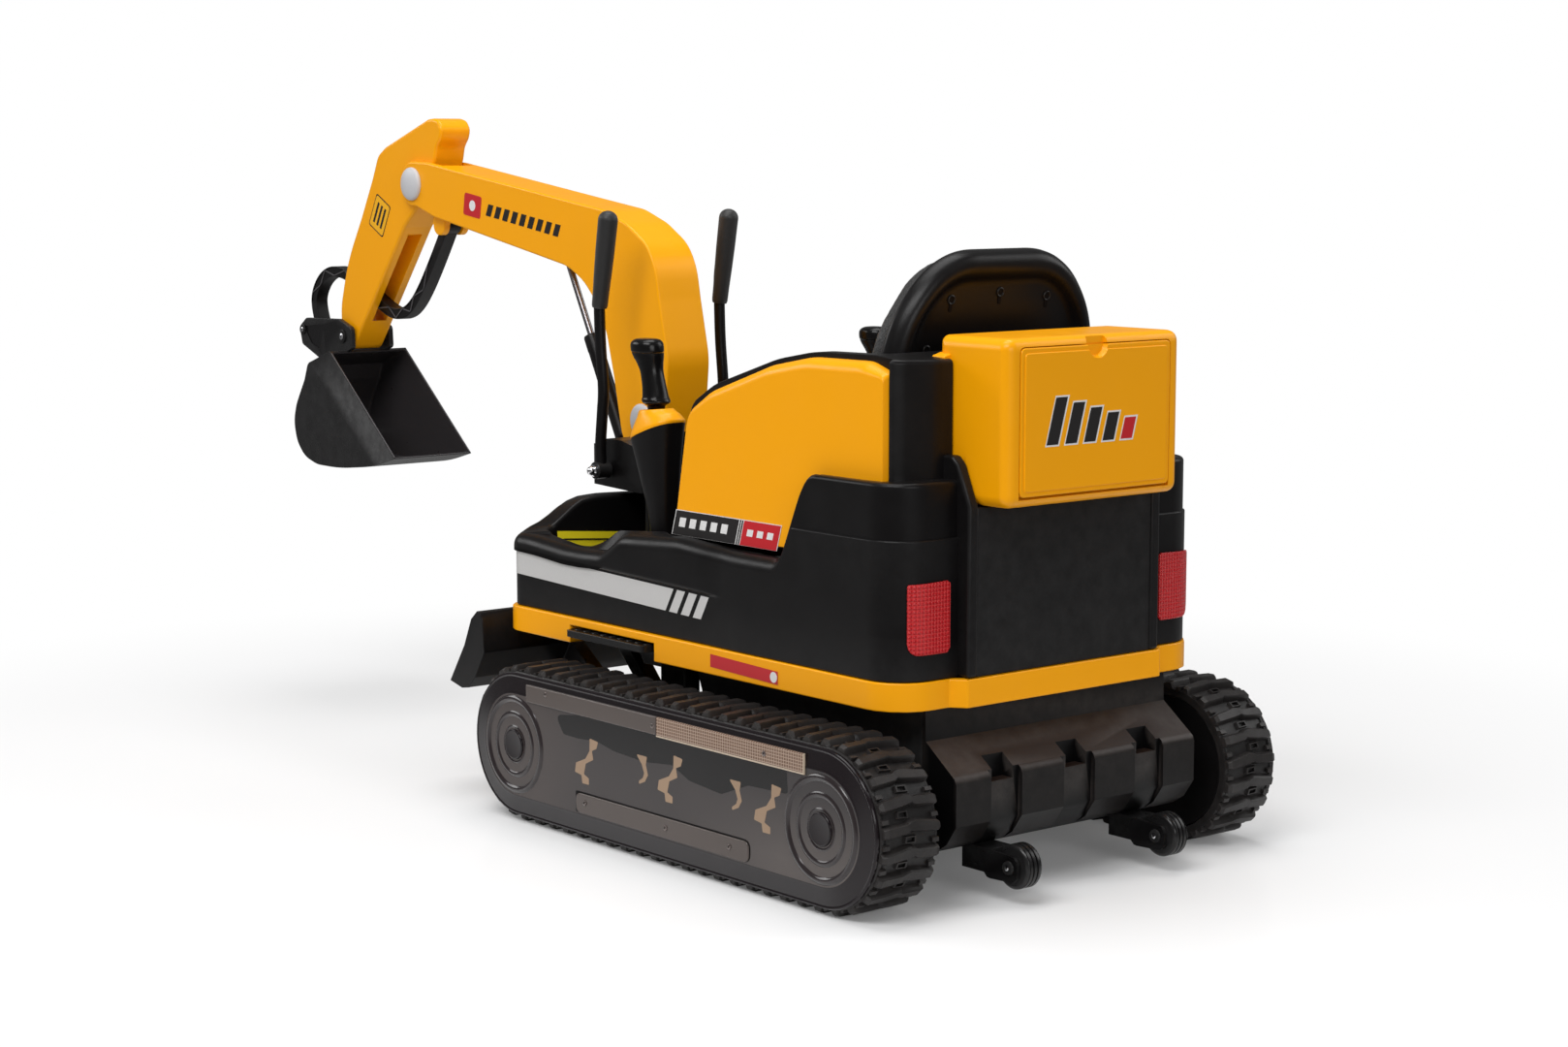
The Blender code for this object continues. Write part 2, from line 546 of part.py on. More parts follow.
def trunk_box(mat):
    """Box on the back with its opening to the rear and a recess that takes the door."""
    side = filleted([(TRUNK_FRONT, TRUNK_TOP), (TRUNK_FRONT, 0.4365), (0.2775, 0.4365), (0.2775, 0.4560),
                     (0.297, TRUNK_BOTTOM), (TRUNK_REAR, TRUNK_BOTTOM), (TRUNK_REAR, TRUNK_TOP)], 0.0, 3)
    box = prism("trunk_box", side, "X", -TRUNK_HALF, TRUNK_HALF, mat)
    soften(box, 0.007, 2, 50)
    inside = [(TRUNK_FRONT + 0.004, TRUNK_TOP - 0.006), (TRUNK_FRONT + 0.004, 0.4445), (0.283, 0.4445),
              (0.303, 0.4275), (0.40, 0.4275), (0.40, DOOR_TOP - 0.006)]
    recess = block("recess", (-DOOR_HALF - 0.001, DOOR_HALF + 0.001),
                   (TRUNK_REAR - DOOR_THICK, 0.4), (DOOR_BOTTOM - 0.001, DOOR_TOP + 0.001), mat)
    half = DOOR_HALF - 0.006
    cut(box, prism("inside", inside, "X", -half, half, mat), recess)
    grip = turned("grip", [(0, 0), (0.016, 0), (0.016, 0.02), (0, 0.02)],
                  (0, TRUNK_REAR - 0.006, DOOR_TOP + 0.001), (0, 1, 0), mat, 16)
    cut(box, grip)
    near, far = DOOR_HALF + 0.0005, DOOR_HALF + 0.006
    seats = [rod("hinge_seat", 0.0034, x, DOOR_HINGE, mat, 12) for x in ((-far, -near), (near, far))]
    knuckle = rod("knuckle_room", 0.0076, (-DOOR_HALF - 0.001, DOOR_HALF + 0.001), DOOR_HINGE, mat, 16)
    return cut(box, knuckle, *seats)


def trunk_door(mat):
    """Flat door with rounded lower edge, a finger notch on top and the hinge bore."""
    y = (TRUNK_REAR - DOOR_THICK + 0.0006, TRUNK_REAR + 0.0022)
    panel = prism("trunk_door", rounded_box(DOOR_HALF, (DOOR_TOP - DOOR_BOTTOM) / 2, 0.006,
                                            (0, (DOOR_TOP + DOOR_BOTTOM) / 2), 2), "Y", y[0], y[1], mat)
    notch = turned("notch", [(0, 0), (0.015, 0), (0.015, 0.04), (0, 0.04)],
                   (0, 0.34, DOOR_TOP), (0, 1, 0), mat, 16)
    bore = rod("bore", 0.0019, (-0.2, 0.2), DOOR_HINGE, mat, 12)
    return cut(panel, notch, bore)


def trunk_hinge_pin(mat):
    return rod("trunk_hinge_pin", 0.0015, (-DOOR_HALF - 0.005, DOOR_HALF + 0.005), DOOR_HINGE, mat, 12)


def pedestal(mat):
    """Box over the front rim: trough and tongue for the boom, lug for the strut, lever pins."""
    side = [(-0.418, 0.3635), (-0.335, 0.3600), (-0.322, 0.3600), (-0.322, 0.4120), (-0.362, 0.4205),
            (-0.394, 0.4205), (-0.398, 0.4150), (-0.418, 0.4130)]
    body = prism("pedestal", side, "X", -0.080, 0.080, mat)
    foot = block("foot", (-0.070, 0.070), (-0.3275, -0.322), (FLOOR_TOP + GAP, 0.365), mat)
    join(body, foot)
    trough = BOOM_HALF + 0.0045
    cut(body, block("trough", (-trough, trough), (-0.45, -0.30), (0.3835, 0.5), mat))
    tongue = filleted([(-0.420, 0.375), (-0.345, 0.375), (-0.352, 0.466), (-0.416, 0.466)], 0.025, 3)
    lug = filleted([(-0.472, 0.384), (-0.415, 0.366), (-0.415, 0.388), (-0.446, 0.411), (-0.468, 0.411)],
                   0.006, 2)
    join(body, prism("tongue", tongue, "X", -0.0115, 0.0115, mat),
         prism("lug", lug, "X", -0.016, 0.016, mat))
    cut(body, rod("bore", PIN_RADIUS + GAP, (-0.03, 0.03), BOOM_BASE, mat, 20),
        block("strut_slot", (-0.0085, 0.0085), (-0.50, -0.4185), (0.36, 0.45), mat))
    pins = [rod("strut_pin", STRUT_PIN_RADIUS, (-0.014, 0.014), STRUT_FOOT, mat, 12)]
    for side_sign in (-1, 1):
        x = sorted((side_sign * 0.078, side_sign * 0.1075))
        pins.append(rod("lever_pin", 0.0045, x, LEVER_PIVOT, mat, 12))
    return join(body, *pins)


def stick_loop(scale_x, scale_y, centre, z_front, z_rear, count=16, power=0.75):
    """Rounded loop, tilted from z_front to z_rear, as points in space."""
    loop = []
    for k in range(count):
        angle = 2 * pi * k / count
        c, s = cos(angle), sin(angle)
        x = scale_x * abs(c) ** power * (1 if c >= 0 else -1)
        y = scale_y * abs(s) ** power * (1 if s >= 0 else -1)
        share = (y / scale_y + 1) / 2
        loop.append((centre[0] + x, centre[1] + y, z_front + (z_rear - z_front) * share))
    return loop


def joystick_pod(mat):
    """Tapered housing that leans out in front of the seat side and carries the joystick."""
    sections = [stick_loop(0.013, 0.015, (STICK_X, -0.152), FLOOR_TOP + GAP, FLOOR_TOP + GAP),
                stick_loop(0.014, 0.016, (STICK_X, -0.156), 0.340, 0.342),
                stick_loop(0.018, 0.023, (STICK_X, -0.162), 0.390, 0.398),
                stick_loop(0.022, 0.031, (STICK_X, -0.166), 0.425, 0.444),
                stick_loop(0.024, 0.034, (STICK_X, -0.167), 0.440, 0.464)]
    return loft("joystick_pod_left", sections, mat)


def pod_collar(mat):
    """Yellow cap on the pod, rising to a round mouth for the joystick."""
    lift = 0.0004
    sections = [stick_loop(0.0245, 0.0345, (STICK_X, -0.167), 0.4400 + lift, 0.4640 + lift),
                stick_loop(0.0245, 0.0345, (STICK_X, -0.167), 0.4440, 0.4680),
                stick_loop(0.0225, 0.029, (STICK_X, -0.168), 0.4580, 0.4745, power=0.9),
                stick_loop(0.0205, 0.023, (STICK_X, -0.169), 0.4700, 0.4770, power=1.0),
                stick_loop(0.0190, 0.020, (STICK_X, -0.1695), 0.4745, 0.4780, power=1.0)]
    collar = loft("pod_collar_left", sections, mat)
    mouth = turned("mouth", [(0, 0), (0.0125, 0), (0.0165, 0.03), (0, 0.03)],
                   (STICK_X, STICK_PIVOT[0], 0.4645), (0, 0, 1), mat, 20)
    return cut(collar, mouth)


def joystick(mat):
    """Grip on a short stem; the head leans forward and overhangs."""
    x, (y, z) = STICK_X, STICK_PIVOT
    rows = [(-0.010, 0.000, 0.0095, 0.0095), (0.001, 0.000, 0.0100, 0.0100),
            (0.0050, 0.000, 0.0150, 0.0160), (0.011, -0.001, 0.0145, 0.0155),
            (0.040, -0.008, 0.0125, 0.0135), (0.054, -0.013, 0.0150, 0.0175),
            (0.062, -0.016, 0.0170, 0.0205), (0.071, -0.017, 0.0170, 0.0205),
            (0.0775, -0.016, 0.0100, 0.0130)]
    sections = [stick_loop(a, b, (x, y + lean), z + up, z + up, 16, 0.9) for up, lean, a, b in rows]
    return loft("joystick_left", sections, mat)


def rear_reflector(mat):
    """Thin lens that follows the rear corner."""
    centre, radius = (HOUSE_HALF - HOUSE_CORNER, HOUSE_REAR - HOUSE_CORNER), HOUSE_CORNER
    inner = [(0.155, centre[1] + radius + GAP)] + arc(centre, radius + GAP, 90, 56, 4)
    outer = [(0.155, centre[1] + radius + 0.0025)] + arc(centre, radius + 0.0025, 90, 56, 4)
    return prism("rear_reflector_left", inner + outer[::-1], "Z", 0.260, 0.334, mat)


def battery(mat):
    return block("battery", (-0.055, 0.055), (0.04, 0.14), (0.0563, 0.1263), mat)


# ---------------------------------------------------------------- digging gear
def pin_bores(mat, *spots):
    return [rod("bore", PIN_RADIUS + GAP, (-0.05, 0.05), spot, mat, 20) for spot in spots]


def boom(mat):
    """Goose-neck boom: fork at the tip, slot over the tongue at the base, pocket for the strut."""
    tip = arc(BOOM_TIP, 0.030, 96, 282, 8)
    base = arc(BOOM_BASE, 0.046, 200, 345, 6)
    outline = tip + [(-0.845, 0.6795), (-0.540, 0.6235), (-0.5044, 0.6061), (-0.480, 0.5820),
                     (-0.458, 0.5480), (-0.4420, 0.4900)] + base
    outline += [(-0.3310, 0.5179), (-0.3475, 0.5896), (-0.3545, 0.6258), (-0.3714, 0.6545),
                (-0.4130, 0.6790), (-0.4581, 0.6949), (-0.5256, 0.7043), (-0.8600, 0.7515)]
    body = prism("boom", outline, "X", -BOOM_HALF, BOOM_HALF, mat)
    soften(body, 0.004, 1, 50)
    lug_out = arc(LINK_HIGH, 0.0135, 180, 360, 4)
    lug_out += [(LINK_HIGH[0] + 0.022, 0.6890), (LINK_HIGH[0] - 0.02, 0.6890)]
    join(body, prism("link_lug", lug_out, "X", -0.0200, 0.0200, mat))
    fork = ARM_HALF + 0.0006
    slot = [(-1.0, 0.60), (-0.885, 0.60), (-0.8610, 0.685), (-0.8380, 0.700), (-0.8220, 0.85),
            (-1.0, 0.85)]
    cut(body, prism("fork", slot, "X", -fork, fork, mat))
    link_slot = [(-0.90, 0.60), (-0.80, 0.60), (-0.820, 0.688), (-0.90, 0.700)]
    cut(body, prism("link_slot", link_slot, "X", -0.0108, 0.0108, mat))
    join(body, rod("link_pin", LINK_PIN_RADIUS, (-0.016, 0.016), LINK_HIGH, mat, 16))
    tongue_slot = arc(BOOM_BASE, 0.036, 0, 180, 8)
    tongue_slot += [(-0.45, 0.40), (-0.45, 0.37), (-0.32, 0.37), (-0.32, 0.40)]
    pocket = [(-0.640, 0.60), (-0.525, 0.60), (-0.545, 0.655), (-0.615, 0.668)]
    cut(body, prism("tongue_slot", tongue_slot, "X", -0.0121, 0.0121, mat),
        prism("strut_pocket", pocket, "X", -0.0125, 0.0125, mat))
    return cut(body, *pin_bores(mat, BOOM_TIP, BOOM_BASE))


def capped_pin(name, half, cap_radius, spot, mat):
    """Pin with a flat cap on each end."""
    near, cap = half + GAP, 0.0025
    reach = near + cap
    profile = [(0, -reach), (cap_radius, -reach), (cap_radius, -near), (PIN_RADIUS, -near),
               (PIN_RADIUS, near), (cap_radius, near), (cap_radius, reach), (0, reach)]
    return turned(name, profile, (0, *spot), (1, 0, 0), mat, 16)


def arm_outline():
    tail = arc(BUCKET_PIVOT, 0.0185, 180, 320, 6)
    hook = [(-0.9330, 0.6640), (-0.8660, 0.7180), (-0.8530, 0.7560), (-0.8490, 0.7717),
            (-0.8390, 0.7830), (-0.8350, 0.7960), (-0.8440, 0.8070), (-0.8560, 0.8100),
            (-0.8700, 0.8090), (-0.9788, 0.7718), (-0.9972, 0.7607), (-1.0120, 0.7300),
            (-1.0434, 0.6750), (-1.0830, 0.6130), (-1.1040, 0.5450)]
    return tail + hook


def arm(mat):
    """Stick with a hooked top and a slot right through for the bucket link."""
    body = prism("arm", arm_outline(), "X", -ARM_HALF, ARM_HALF, mat)
    soften(body, 0.0035, 1, 50)
    slot = [(-0.930, 0.655), (-0.930, 0.560), (-1.0450, 0.5300), (-1.140, 0.5350), (-1.140, 0.620),
            (-1.060, 0.628), (-0.980, 0.650)]
    cut(body, prism("slot", slot, "X", -0.0110, 0.0110, mat))
    return cut(body, *pin_bores(mat, BOOM_TIP, BUCKET_PIVOT))


def bucket(mat):
    """Open shell with round back, on two bracket plates that hold both pivots."""
    top, lip = (-1.070, 0.4900), (-0.9045, 0.3520)
    back = [(-1.130, 0.4700), (-1.1400, 0.4460), (-1.1640, 0.4100), (-1.1720, 0.3850), (-1.1640, 0.3570),
            (-1.1440, 0.3370), (-1.1100, 0.3280), (-1.0500, 0.3275), (-0.9600, 0.3370)]
    outer = [top] + back + [lip]
    shell = prism("bucket", outer, "X", -BUCKET_HALF, BUCKET_HALF, mat)
    inner = [(-1.0685, 0.4855), (-1.1265, 0.4655), (-1.1360, 0.4430), (-1.1600, 0.4080),
             (-1.1675, 0.3845), (-1.1603, 0.3598), (-1.1418, 0.3410), (-1.1090, 0.3325),
             (-1.0500, 0.3320), (-0.9600, 0.3412), (-0.900, 0.3560), (-0.87, 0.38), (-1.040, 0.53)]
    half = BUCKET_HALF - 0.0035
    cut(shell, prism("inside", inner, "X", -half, half, mat))
    plate = filleted([(-1.1990, 0.5180, 0.008), (-1.1800, 0.5310, 0.008), (-1.0900, 0.5330, 0.008),
                      (-1.0580, 0.5220, 0.008), (-1.0560, 0.4930, 0.006), (-1.0720, 0.4870, 0),
                      (-1.1270, 0.4680, 0), (-1.1920, 0.4930, 0.006)], 0.008, 2)
    plates = []
    for x in ((-BRACKET_OUT, -0.0275), (0.0275, BRACKET_OUT)):
        plates.append(prism("plate", plate, "X", x[0], x[1], mat))
    join(shell, *plates)
    bores = [rod("bore", radius + GAP, (-0.05, 0.05), spot, mat, 16)
             for radius, spot in ((PIN_RADIUS, BUCKET_PIVOT), (LINK_PIN_RADIUS, LINK_LOW))]
    return cut(shell, *bores)


def bolt(name, radius, head, half, spot, mat):
    """Plain pin with a round head on each end."""
    near, thick = half + GAP, 0.003
    reach = near + thick
    profile = [(0, -reach), (head, -reach), (head, -near), (radius, -near), (radius, near), (head, near),
               (head, reach), (0, reach)]
    return turned(name, profile, (0, *spot), (1, 0, 0), mat, 16)


def link_outline(half):
    """Both sides of the link's S-shaped centre line, as one outline."""
    path = [LINK_HIGH, (-0.883, 0.6230), (-0.913, 0.5840), (-0.938, 0.5590), (-0.962, 0.5465),
            (-0.990, 0.5450), (-1.022, 0.5555), (-1.070, 0.5770), (-1.115, 0.5940),
            (-1.155, 0.5960), (-1.185, 0.5810), (-1.2000, 0.5530), LINK_LOW]
    left, right = [], []
    for i, point in enumerate(path):
        back, ahead = path[max(i - 1, 0)], path[min(i + 1, len(path) - 1)]
        dy, dz = ahead[0] - back[0], ahead[1] - back[1]
        size = hypot(dy, dz) / half
        left.append((point[0] - dz / size, point[1] + dy / size))
        right.append((point[0] + dz / size, point[1] - dy / size))
    return left + right[::-1]


def bucket_link(mat):
    """Curved link from the boom, through the arm, to the bucket bracket."""
    body = prism("bucket_link", link_outline(0.0074), "X", -0.0095, 0.0095, mat)
    ends = [rod("eye", 0.0115, (-0.0092, 0.0092), spot, mat, 20) for spot in (LINK_HIGH, LINK_LOW)]
    join(body, *ends)
    return cut(body, rod("bore", LINK_PIN_RADIUS + 0.0004, (-0.02, 0.02), LINK_HIGH, mat, 16),
               rod("open_bore", 0.0080, (-0.02, 0.02), LINK_LOW, mat, 16))


def strut_axis():
    foot = Vector((0, *STRUT_FOOT))
    return foot, Vector((0, *STRUT_TOP)) - foot


def strut_cylinder(mat):
    """Gas strut body with an eye at its foot, open at the top for the rod."""
    foot, way = strut_axis()
    profile = [(0.0, 0.0), (0.006, 0.0), (0.006, 0.016), (0.0105, 0.020), (0.0105, 0.158),
               (0.009, 0.160), (0.0050, 0.160), (0.0050, 0.060), (0.0, 0.060)]
    body = turned("strut_cylinder", profile, foot, way, mat, 16)
    join(body, rod("eye", 0.0085, (-0.0078, 0.0078), STRUT_FOOT, mat, 16))
    return cut(body, rod("bore", STRUT_PIN_RADIUS + 0.0004, (-0.02, 0.02), STRUT_FOOT, mat, 12))


def strut_rod(mat):
    """Polished rod; its upper eye floats in the boom's pocket."""
    foot, way = strut_axis()
    length = way.length
    profile = [(0.0, 0.110), (0.0044, 0.110), (0.0044, length - 0.004), (0.0, length - 0.004)]
    body = turned("strut_rod", profile, foot, way, mat, 12)
    return join(body, rod("eye", 0.008, (-0.007, 0.007), STRUT_TOP, mat, 16))


def lever(mat):
    """Bent bar with a hub on the pedestal's pin."""
    x, (y, z) = LEVER_X, LEVER_PIVOT
    path = [(x + 0.002, y, z + 0.006), (x + 0.002, y - 0.001, z + 0.030), (x, y + 0.003, z + 0.100),
            (x, y - 0.002, z + 0.150), (x, y - 0.004, z + 0.230), (x, y + 0.002, z + 0.262)]
    body = bar("lever_left", path, [0.0068] * len(path), mat, 12)
    hub = rod("hub", 0.0105, (0.0835, 0.1045), (y, z), mat, 16)
    join(body, hub)
    return cut(body, rod("bore", 0.0049, (0.07, 0.12), (y, z), mat, 12))


def lever_grip(mat):
    """Rubber sleeve on the lever's end, rounded on top."""
    x, (y, z) = LEVER_X, LEVER_PIVOT
    foot, top = Vector((x, y - 0.0035, z + 0.196)), Vector((x, y + 0.017, z + 0.312))
    way = top - foot
    length = way.length
    radii = ((0.0090, 0.0), (0.0108, 0.03), (0.0118, length - 0.02), (0.0105, length - 0.008),
             (0.0060, length - 0.001))
    path = [foot + way * (t / length) for r, t in radii]
    body = bar("lever_grip_left", path, [r for r, t in radii], mat, 14)
    socket = [(x, y - 0.002, z + 0.15), (x, y - 0.004, z + 0.230), (x, y + 0.0021, z + 0.2625)]
    cut(body, bar("socket", socket, [0.0076] * 3, mat, 14))
    return body


# ---------------------------------------------------------------- assembly
def hang(joint, spot, names):
    """Parent the named pieces to an empty on their joint's axis."""
    guide = bpy.data.objects.new(joint, None)
    guide.empty_display_size = 0.03
    guide.location = spot
    bpy.context.scene.collection.objects.link(guide)
    for name in names:
        piece = bpy.data.objects[name]
        for vertex in piece.data.vertices:
            vertex.co = vertex.co - Vector(spot)
        piece.parent = guide


def build():
    for old in list(bpy.data.objects):
        bpy.data.objects.remove(old)
    yellow = material("yellow_plastic", (0.90, 0.45, 0.01), 0.32)
    black = material("black_plastic", (0.012, 0.012, 0.013), 0.38)
    rubber = material("track_rubber", (0.016, 0.015, 0.015), 0.62)
    smoke = material("smoke_plastic", (0.085, 0.070, 0.066), 0.18)
    grey = material("grey_cap", (0.62, 0.62, 0.64), 0.40)
    steel = material("steel", (0.55, 0.55, 0.57), 0.28, 1.0)
    red = material("red_lens", (0.60, 0.02, 0.02), 0.20)
    vinyl = material("seat_vinyl", (0.014, 0.014, 0.015), 0.50)
    motor = material("motor_grey", (0.20, 0.20, 0.21), 0.45)

    left = [track_belt(rubber), track_frame(black), track_cover(smoke), drive_wheel(black),
            idler_wheel(black), road_roller("roller_front_left", ROLLER_Y[0], black),
            road_roller("roller_rear_left", ROLLER_Y[1], black), gear_motor(motor),
            caster_bracket(black), caster_wheel(black), foot_step(black), side_panel(yellow),
            joystick_pod(black), pod_collar(yellow), joystick(black), rear_reflector(red),
            lever(black), lever_grip(black)]
    for piece in left:
        twin(piece)
    chassis_frame(black)
    rear_bumper(black)
    dozer_blade(black)
    base_skirt(yellow)
    lower_body(black)
    upper_body(black)
    seat_cushion(vinyl)
    seat_back_shell(black)
    seat_back_pad(vinyl)
    trunk_box(yellow)
    trunk_door(yellow)
    trunk_hinge_pin(steel)
    pedestal(black)
    battery(motor)
    boom(yellow)
    capped_pin("boom_pin", BOOM_HALF, CAP_RADIUS, BOOM_BASE, grey)
    arm(yellow)
    capped_pin("arm_pin", BOOM_HALF, CAP_RADIUS, BOOM_TIP, grey)
    bucket(black)
    bolt("bucket_pin", PIN_RADIUS, 0.010, BRACKET_OUT, BUCKET_PIVOT, steel)
    bolt("link_pin", LINK_PIN_RADIUS, 0.0075, BRACKET_OUT, LINK_LOW, steel)
    bucket_link(black)
    strut_cylinder(black)
    strut_rod(steel)

    for side, sign in (("left", 1), ("right", -1)):
        hang("drive_axis_" + side, (0, HUB_REAR, HUB_Z), ["drive_wheel_" + side])
        hang("idler_axis_" + side, (0, HUB_FRONT, HUB_Z), ["idler_wheel_" + side])
        for end, y in zip(("front", "rear"), ROLLER_Y):
            hang("roller_axis_%s_%s" % (end, side), (0, y, ROLLER_Z), ["roller_%s_%s" % (end, side)])
        hang("caster_axis_" + side, (0, CASTER_Y, CASTER_Z), ["caster_wheel_" + side])
        hang("stick_axis_" + side, (sign * STICK_X, *STICK_PIVOT), ["joystick_" + side])
        hang("lever_axis_" + side, (sign * LEVER_X, *LEVER_PIVOT),
             ["lever_" + side, "lever_grip_" + side])
    hang("door_axis", (0, *DOOR_HINGE), ["trunk_door"])
    hang("boom_axis", (0, *BOOM_BASE), ["boom"])
    hang("arm_axis", (0, *BOOM_TIP), ["arm"])
    hang("bucket_axis", (0, *BUCKET_PIVOT), ["bucket", "link_pin"])
    hang("link_axis", (0, *LINK_HIGH), ["bucket_link"])
    hang("strut_axis", (0, *STRUT_FOOT), ["strut_cylinder"])
    hang("rod_axis", (0, *STRUT_TOP), ["strut_rod"])

    for thing in bpy.data.objects:
        if thing.parent is None:
            thing.location.y += TRACKS_MIDDLE


build()
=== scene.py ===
"""Looks of the ride on digger: moulded shells, rubber tracks, padded seat and every surface.

Metres, +Z up: the bucket points along -Y, the trunk along +Y and the driver's left is +X. Positions
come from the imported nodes' boxes and the joints' pivots. Lengths along Y are measured from the
middle of the tracks, and every piece is placed TRACKS_MIDDLE further back, in the row's frame.
"""
import json
from math import cos, exp, pi, radians, sin, sqrt

import bmesh
import bpy
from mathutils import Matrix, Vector


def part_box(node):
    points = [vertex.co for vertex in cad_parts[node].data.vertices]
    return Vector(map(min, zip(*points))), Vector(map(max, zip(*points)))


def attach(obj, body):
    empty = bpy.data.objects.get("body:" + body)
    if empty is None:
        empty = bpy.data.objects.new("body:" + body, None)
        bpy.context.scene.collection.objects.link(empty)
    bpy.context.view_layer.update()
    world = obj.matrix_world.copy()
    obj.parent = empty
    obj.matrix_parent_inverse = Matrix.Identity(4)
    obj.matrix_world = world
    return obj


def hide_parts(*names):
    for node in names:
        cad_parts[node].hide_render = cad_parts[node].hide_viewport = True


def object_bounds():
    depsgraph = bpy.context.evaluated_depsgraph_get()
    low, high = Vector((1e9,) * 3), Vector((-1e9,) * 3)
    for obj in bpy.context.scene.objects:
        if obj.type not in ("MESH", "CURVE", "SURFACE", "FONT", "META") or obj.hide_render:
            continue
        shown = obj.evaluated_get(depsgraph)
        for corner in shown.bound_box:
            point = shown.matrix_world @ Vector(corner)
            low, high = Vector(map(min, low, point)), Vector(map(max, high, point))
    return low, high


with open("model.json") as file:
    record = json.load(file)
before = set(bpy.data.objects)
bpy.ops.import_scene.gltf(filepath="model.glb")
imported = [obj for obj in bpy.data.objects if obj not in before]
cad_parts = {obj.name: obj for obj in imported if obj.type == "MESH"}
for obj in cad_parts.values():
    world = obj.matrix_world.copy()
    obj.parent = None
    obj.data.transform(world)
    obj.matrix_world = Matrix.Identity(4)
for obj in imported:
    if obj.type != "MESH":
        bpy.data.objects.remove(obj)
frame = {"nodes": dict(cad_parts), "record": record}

CAD_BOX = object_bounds()
BODY = {node: body for body, nodes in frame["record"]["behaviour"]["bodies"].items() for node in nodes}
SLOT = {entry["node"]: entry["material_slot"] for entry in frame["record"]["subparts"]}
ROW_PIVOT = {joint["name"]: joint["pos_m"] for joint in frame["record"]["behaviour"]["joints"] if "pos_m" in joint}
HUB_MIDDLE = -0.00575
TRACKS_MIDDLE = (ROW_PIVOT["drive_left_spin"][1] + ROW_PIVOT["idler_left_spin"][1]) / 2 - HUB_MIDDLE
PIVOT = {name: (x, y - TRACKS_MIDDLE, z) for name, (x, y, z) in ROW_PIVOT.items()}


def edges(node):
    """Lowest and highest x, y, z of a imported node."""
    low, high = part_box(node)
    return (low[0], high[0]), (low[1] - TRACKS_MIDDLE, high[1] - TRACKS_MIDDLE), (low[2], high[2])


# ---------------------------------------------------------------- material building blocks
GRAIN_SCALE = 1400
# Grey, and how much of it, mixed into sharp edges as a painted highlight.
HIGHLIGHT_GREY, HIGHLIGHT_SHARE = 0.3, 0.35
WHITE = (1.0, 1.0, 1.0, 1.0)


def graph(name):
    made = bpy.data.materials.new(name)
    made.use_nodes = True
    tree = made.node_tree
    return made, tree, tree.nodes["Principled BSDF"]


def add(tree, kind, inputs=(), **settings):
    node = tree.nodes.new(kind)
    for key, value in settings.items():
        setattr(node, key, value)
    for key, value in dict(inputs).items():
        if isinstance(value, bpy.types.NodeSocket):
            tree.links.new(value, node.inputs[key])
        else:
            node.inputs[key].default_value = value
    return node


def place(tree, scale=(1, 1, 1)):
    spot = add(tree, "ShaderNodeTexCoord").outputs["Object"]
    return add(tree, "ShaderNodeMapping", {"Vector": spot, "Scale": scale}).outputs[0]


def noise_of(tree, spot, scale, detail=2.0, rough=0.5):
    values = {"Vector": spot, "Scale": scale, "Detail": detail, "Roughness": rough}
    return add(tree, "ShaderNodeTexNoise", values).outputs["Fac"]


def cells(tree, spot, scale, feature="F1", random=1.0):
    values = {"Vector": spot, "Scale": scale, "Randomness": random}
    return add(tree, "ShaderNodeTexVoronoi", values, feature=feature).outputs["Distance"]


def span(tree, value, low, high, to_low=0.0, to_high=1.0):
    values = {"Value": value, "From Min": low, "From Max": high, "To Min": to_low, "To Max": to_high}
    return add(tree, "ShaderNodeMapRange", values).outputs[0]


def calc(tree, operation, a, b=0.0, c=0.0):
    node = add(tree, "ShaderNodeMath", {0: a, 1: b, 2: c}, operation=operation)
    return node.outputs[0]


def mix(tree, factor, a, b):
    node = add(tree, "ShaderNodeMix", data_type="RGBA")
    for key, value in ((0, factor), (6, a), (7, b)):
        if isinstance(value, bpy.types.NodeSocket):
            tree.links.new(value, node.inputs[key])
        else:
            node.inputs[key].default_value = value if key == 0 else (*value[:3], 1.0)
    return node.outputs[2]


def bump(tree, height, strength, distance, under=None):
    values = {"Height": height, "Strength": strength, "Distance": distance}
    if under is not None:
        values["Normal"] = under
    return add(tree, "ShaderNodeBump", values).outputs[0]


def connect(tree, shader, **sockets):
    names = {"colour": "Base Color", "rough": "Roughness", "normal": "Normal", "metal": "Metallic",
             "coat": "Coat Weight", "coat_rough": "Coat Roughness", "spec": "Specular IOR Level",
             "sheen": "Sheen Weight", "alpha": "Alpha"}
    for key, value in sockets.items():
        socket = shader.inputs[names[key]]
        if isinstance(value, bpy.types.NodeSocket):
            tree.links.new(value, socket)
        elif key == "colour":
            socket.default_value = (*value[:3], 1.0)
        else:
            socket.default_value = value


def shade(colour, factor):
    return tuple(min(1.0, channel * factor) for channel in colour)


def edge_wear(tree, low=0.515, high=0.6):
    """Painted highlight mask: one on sharp outer edges, broken up by noise."""
    point = add(tree, "ShaderNodeNewGeometry").outputs["Pointiness"]
    highlit = span(tree, point, low, high)
    return calc(tree, "MULTIPLY", highlit, noise_of(tree, place(tree), 60, 4, 0.7))


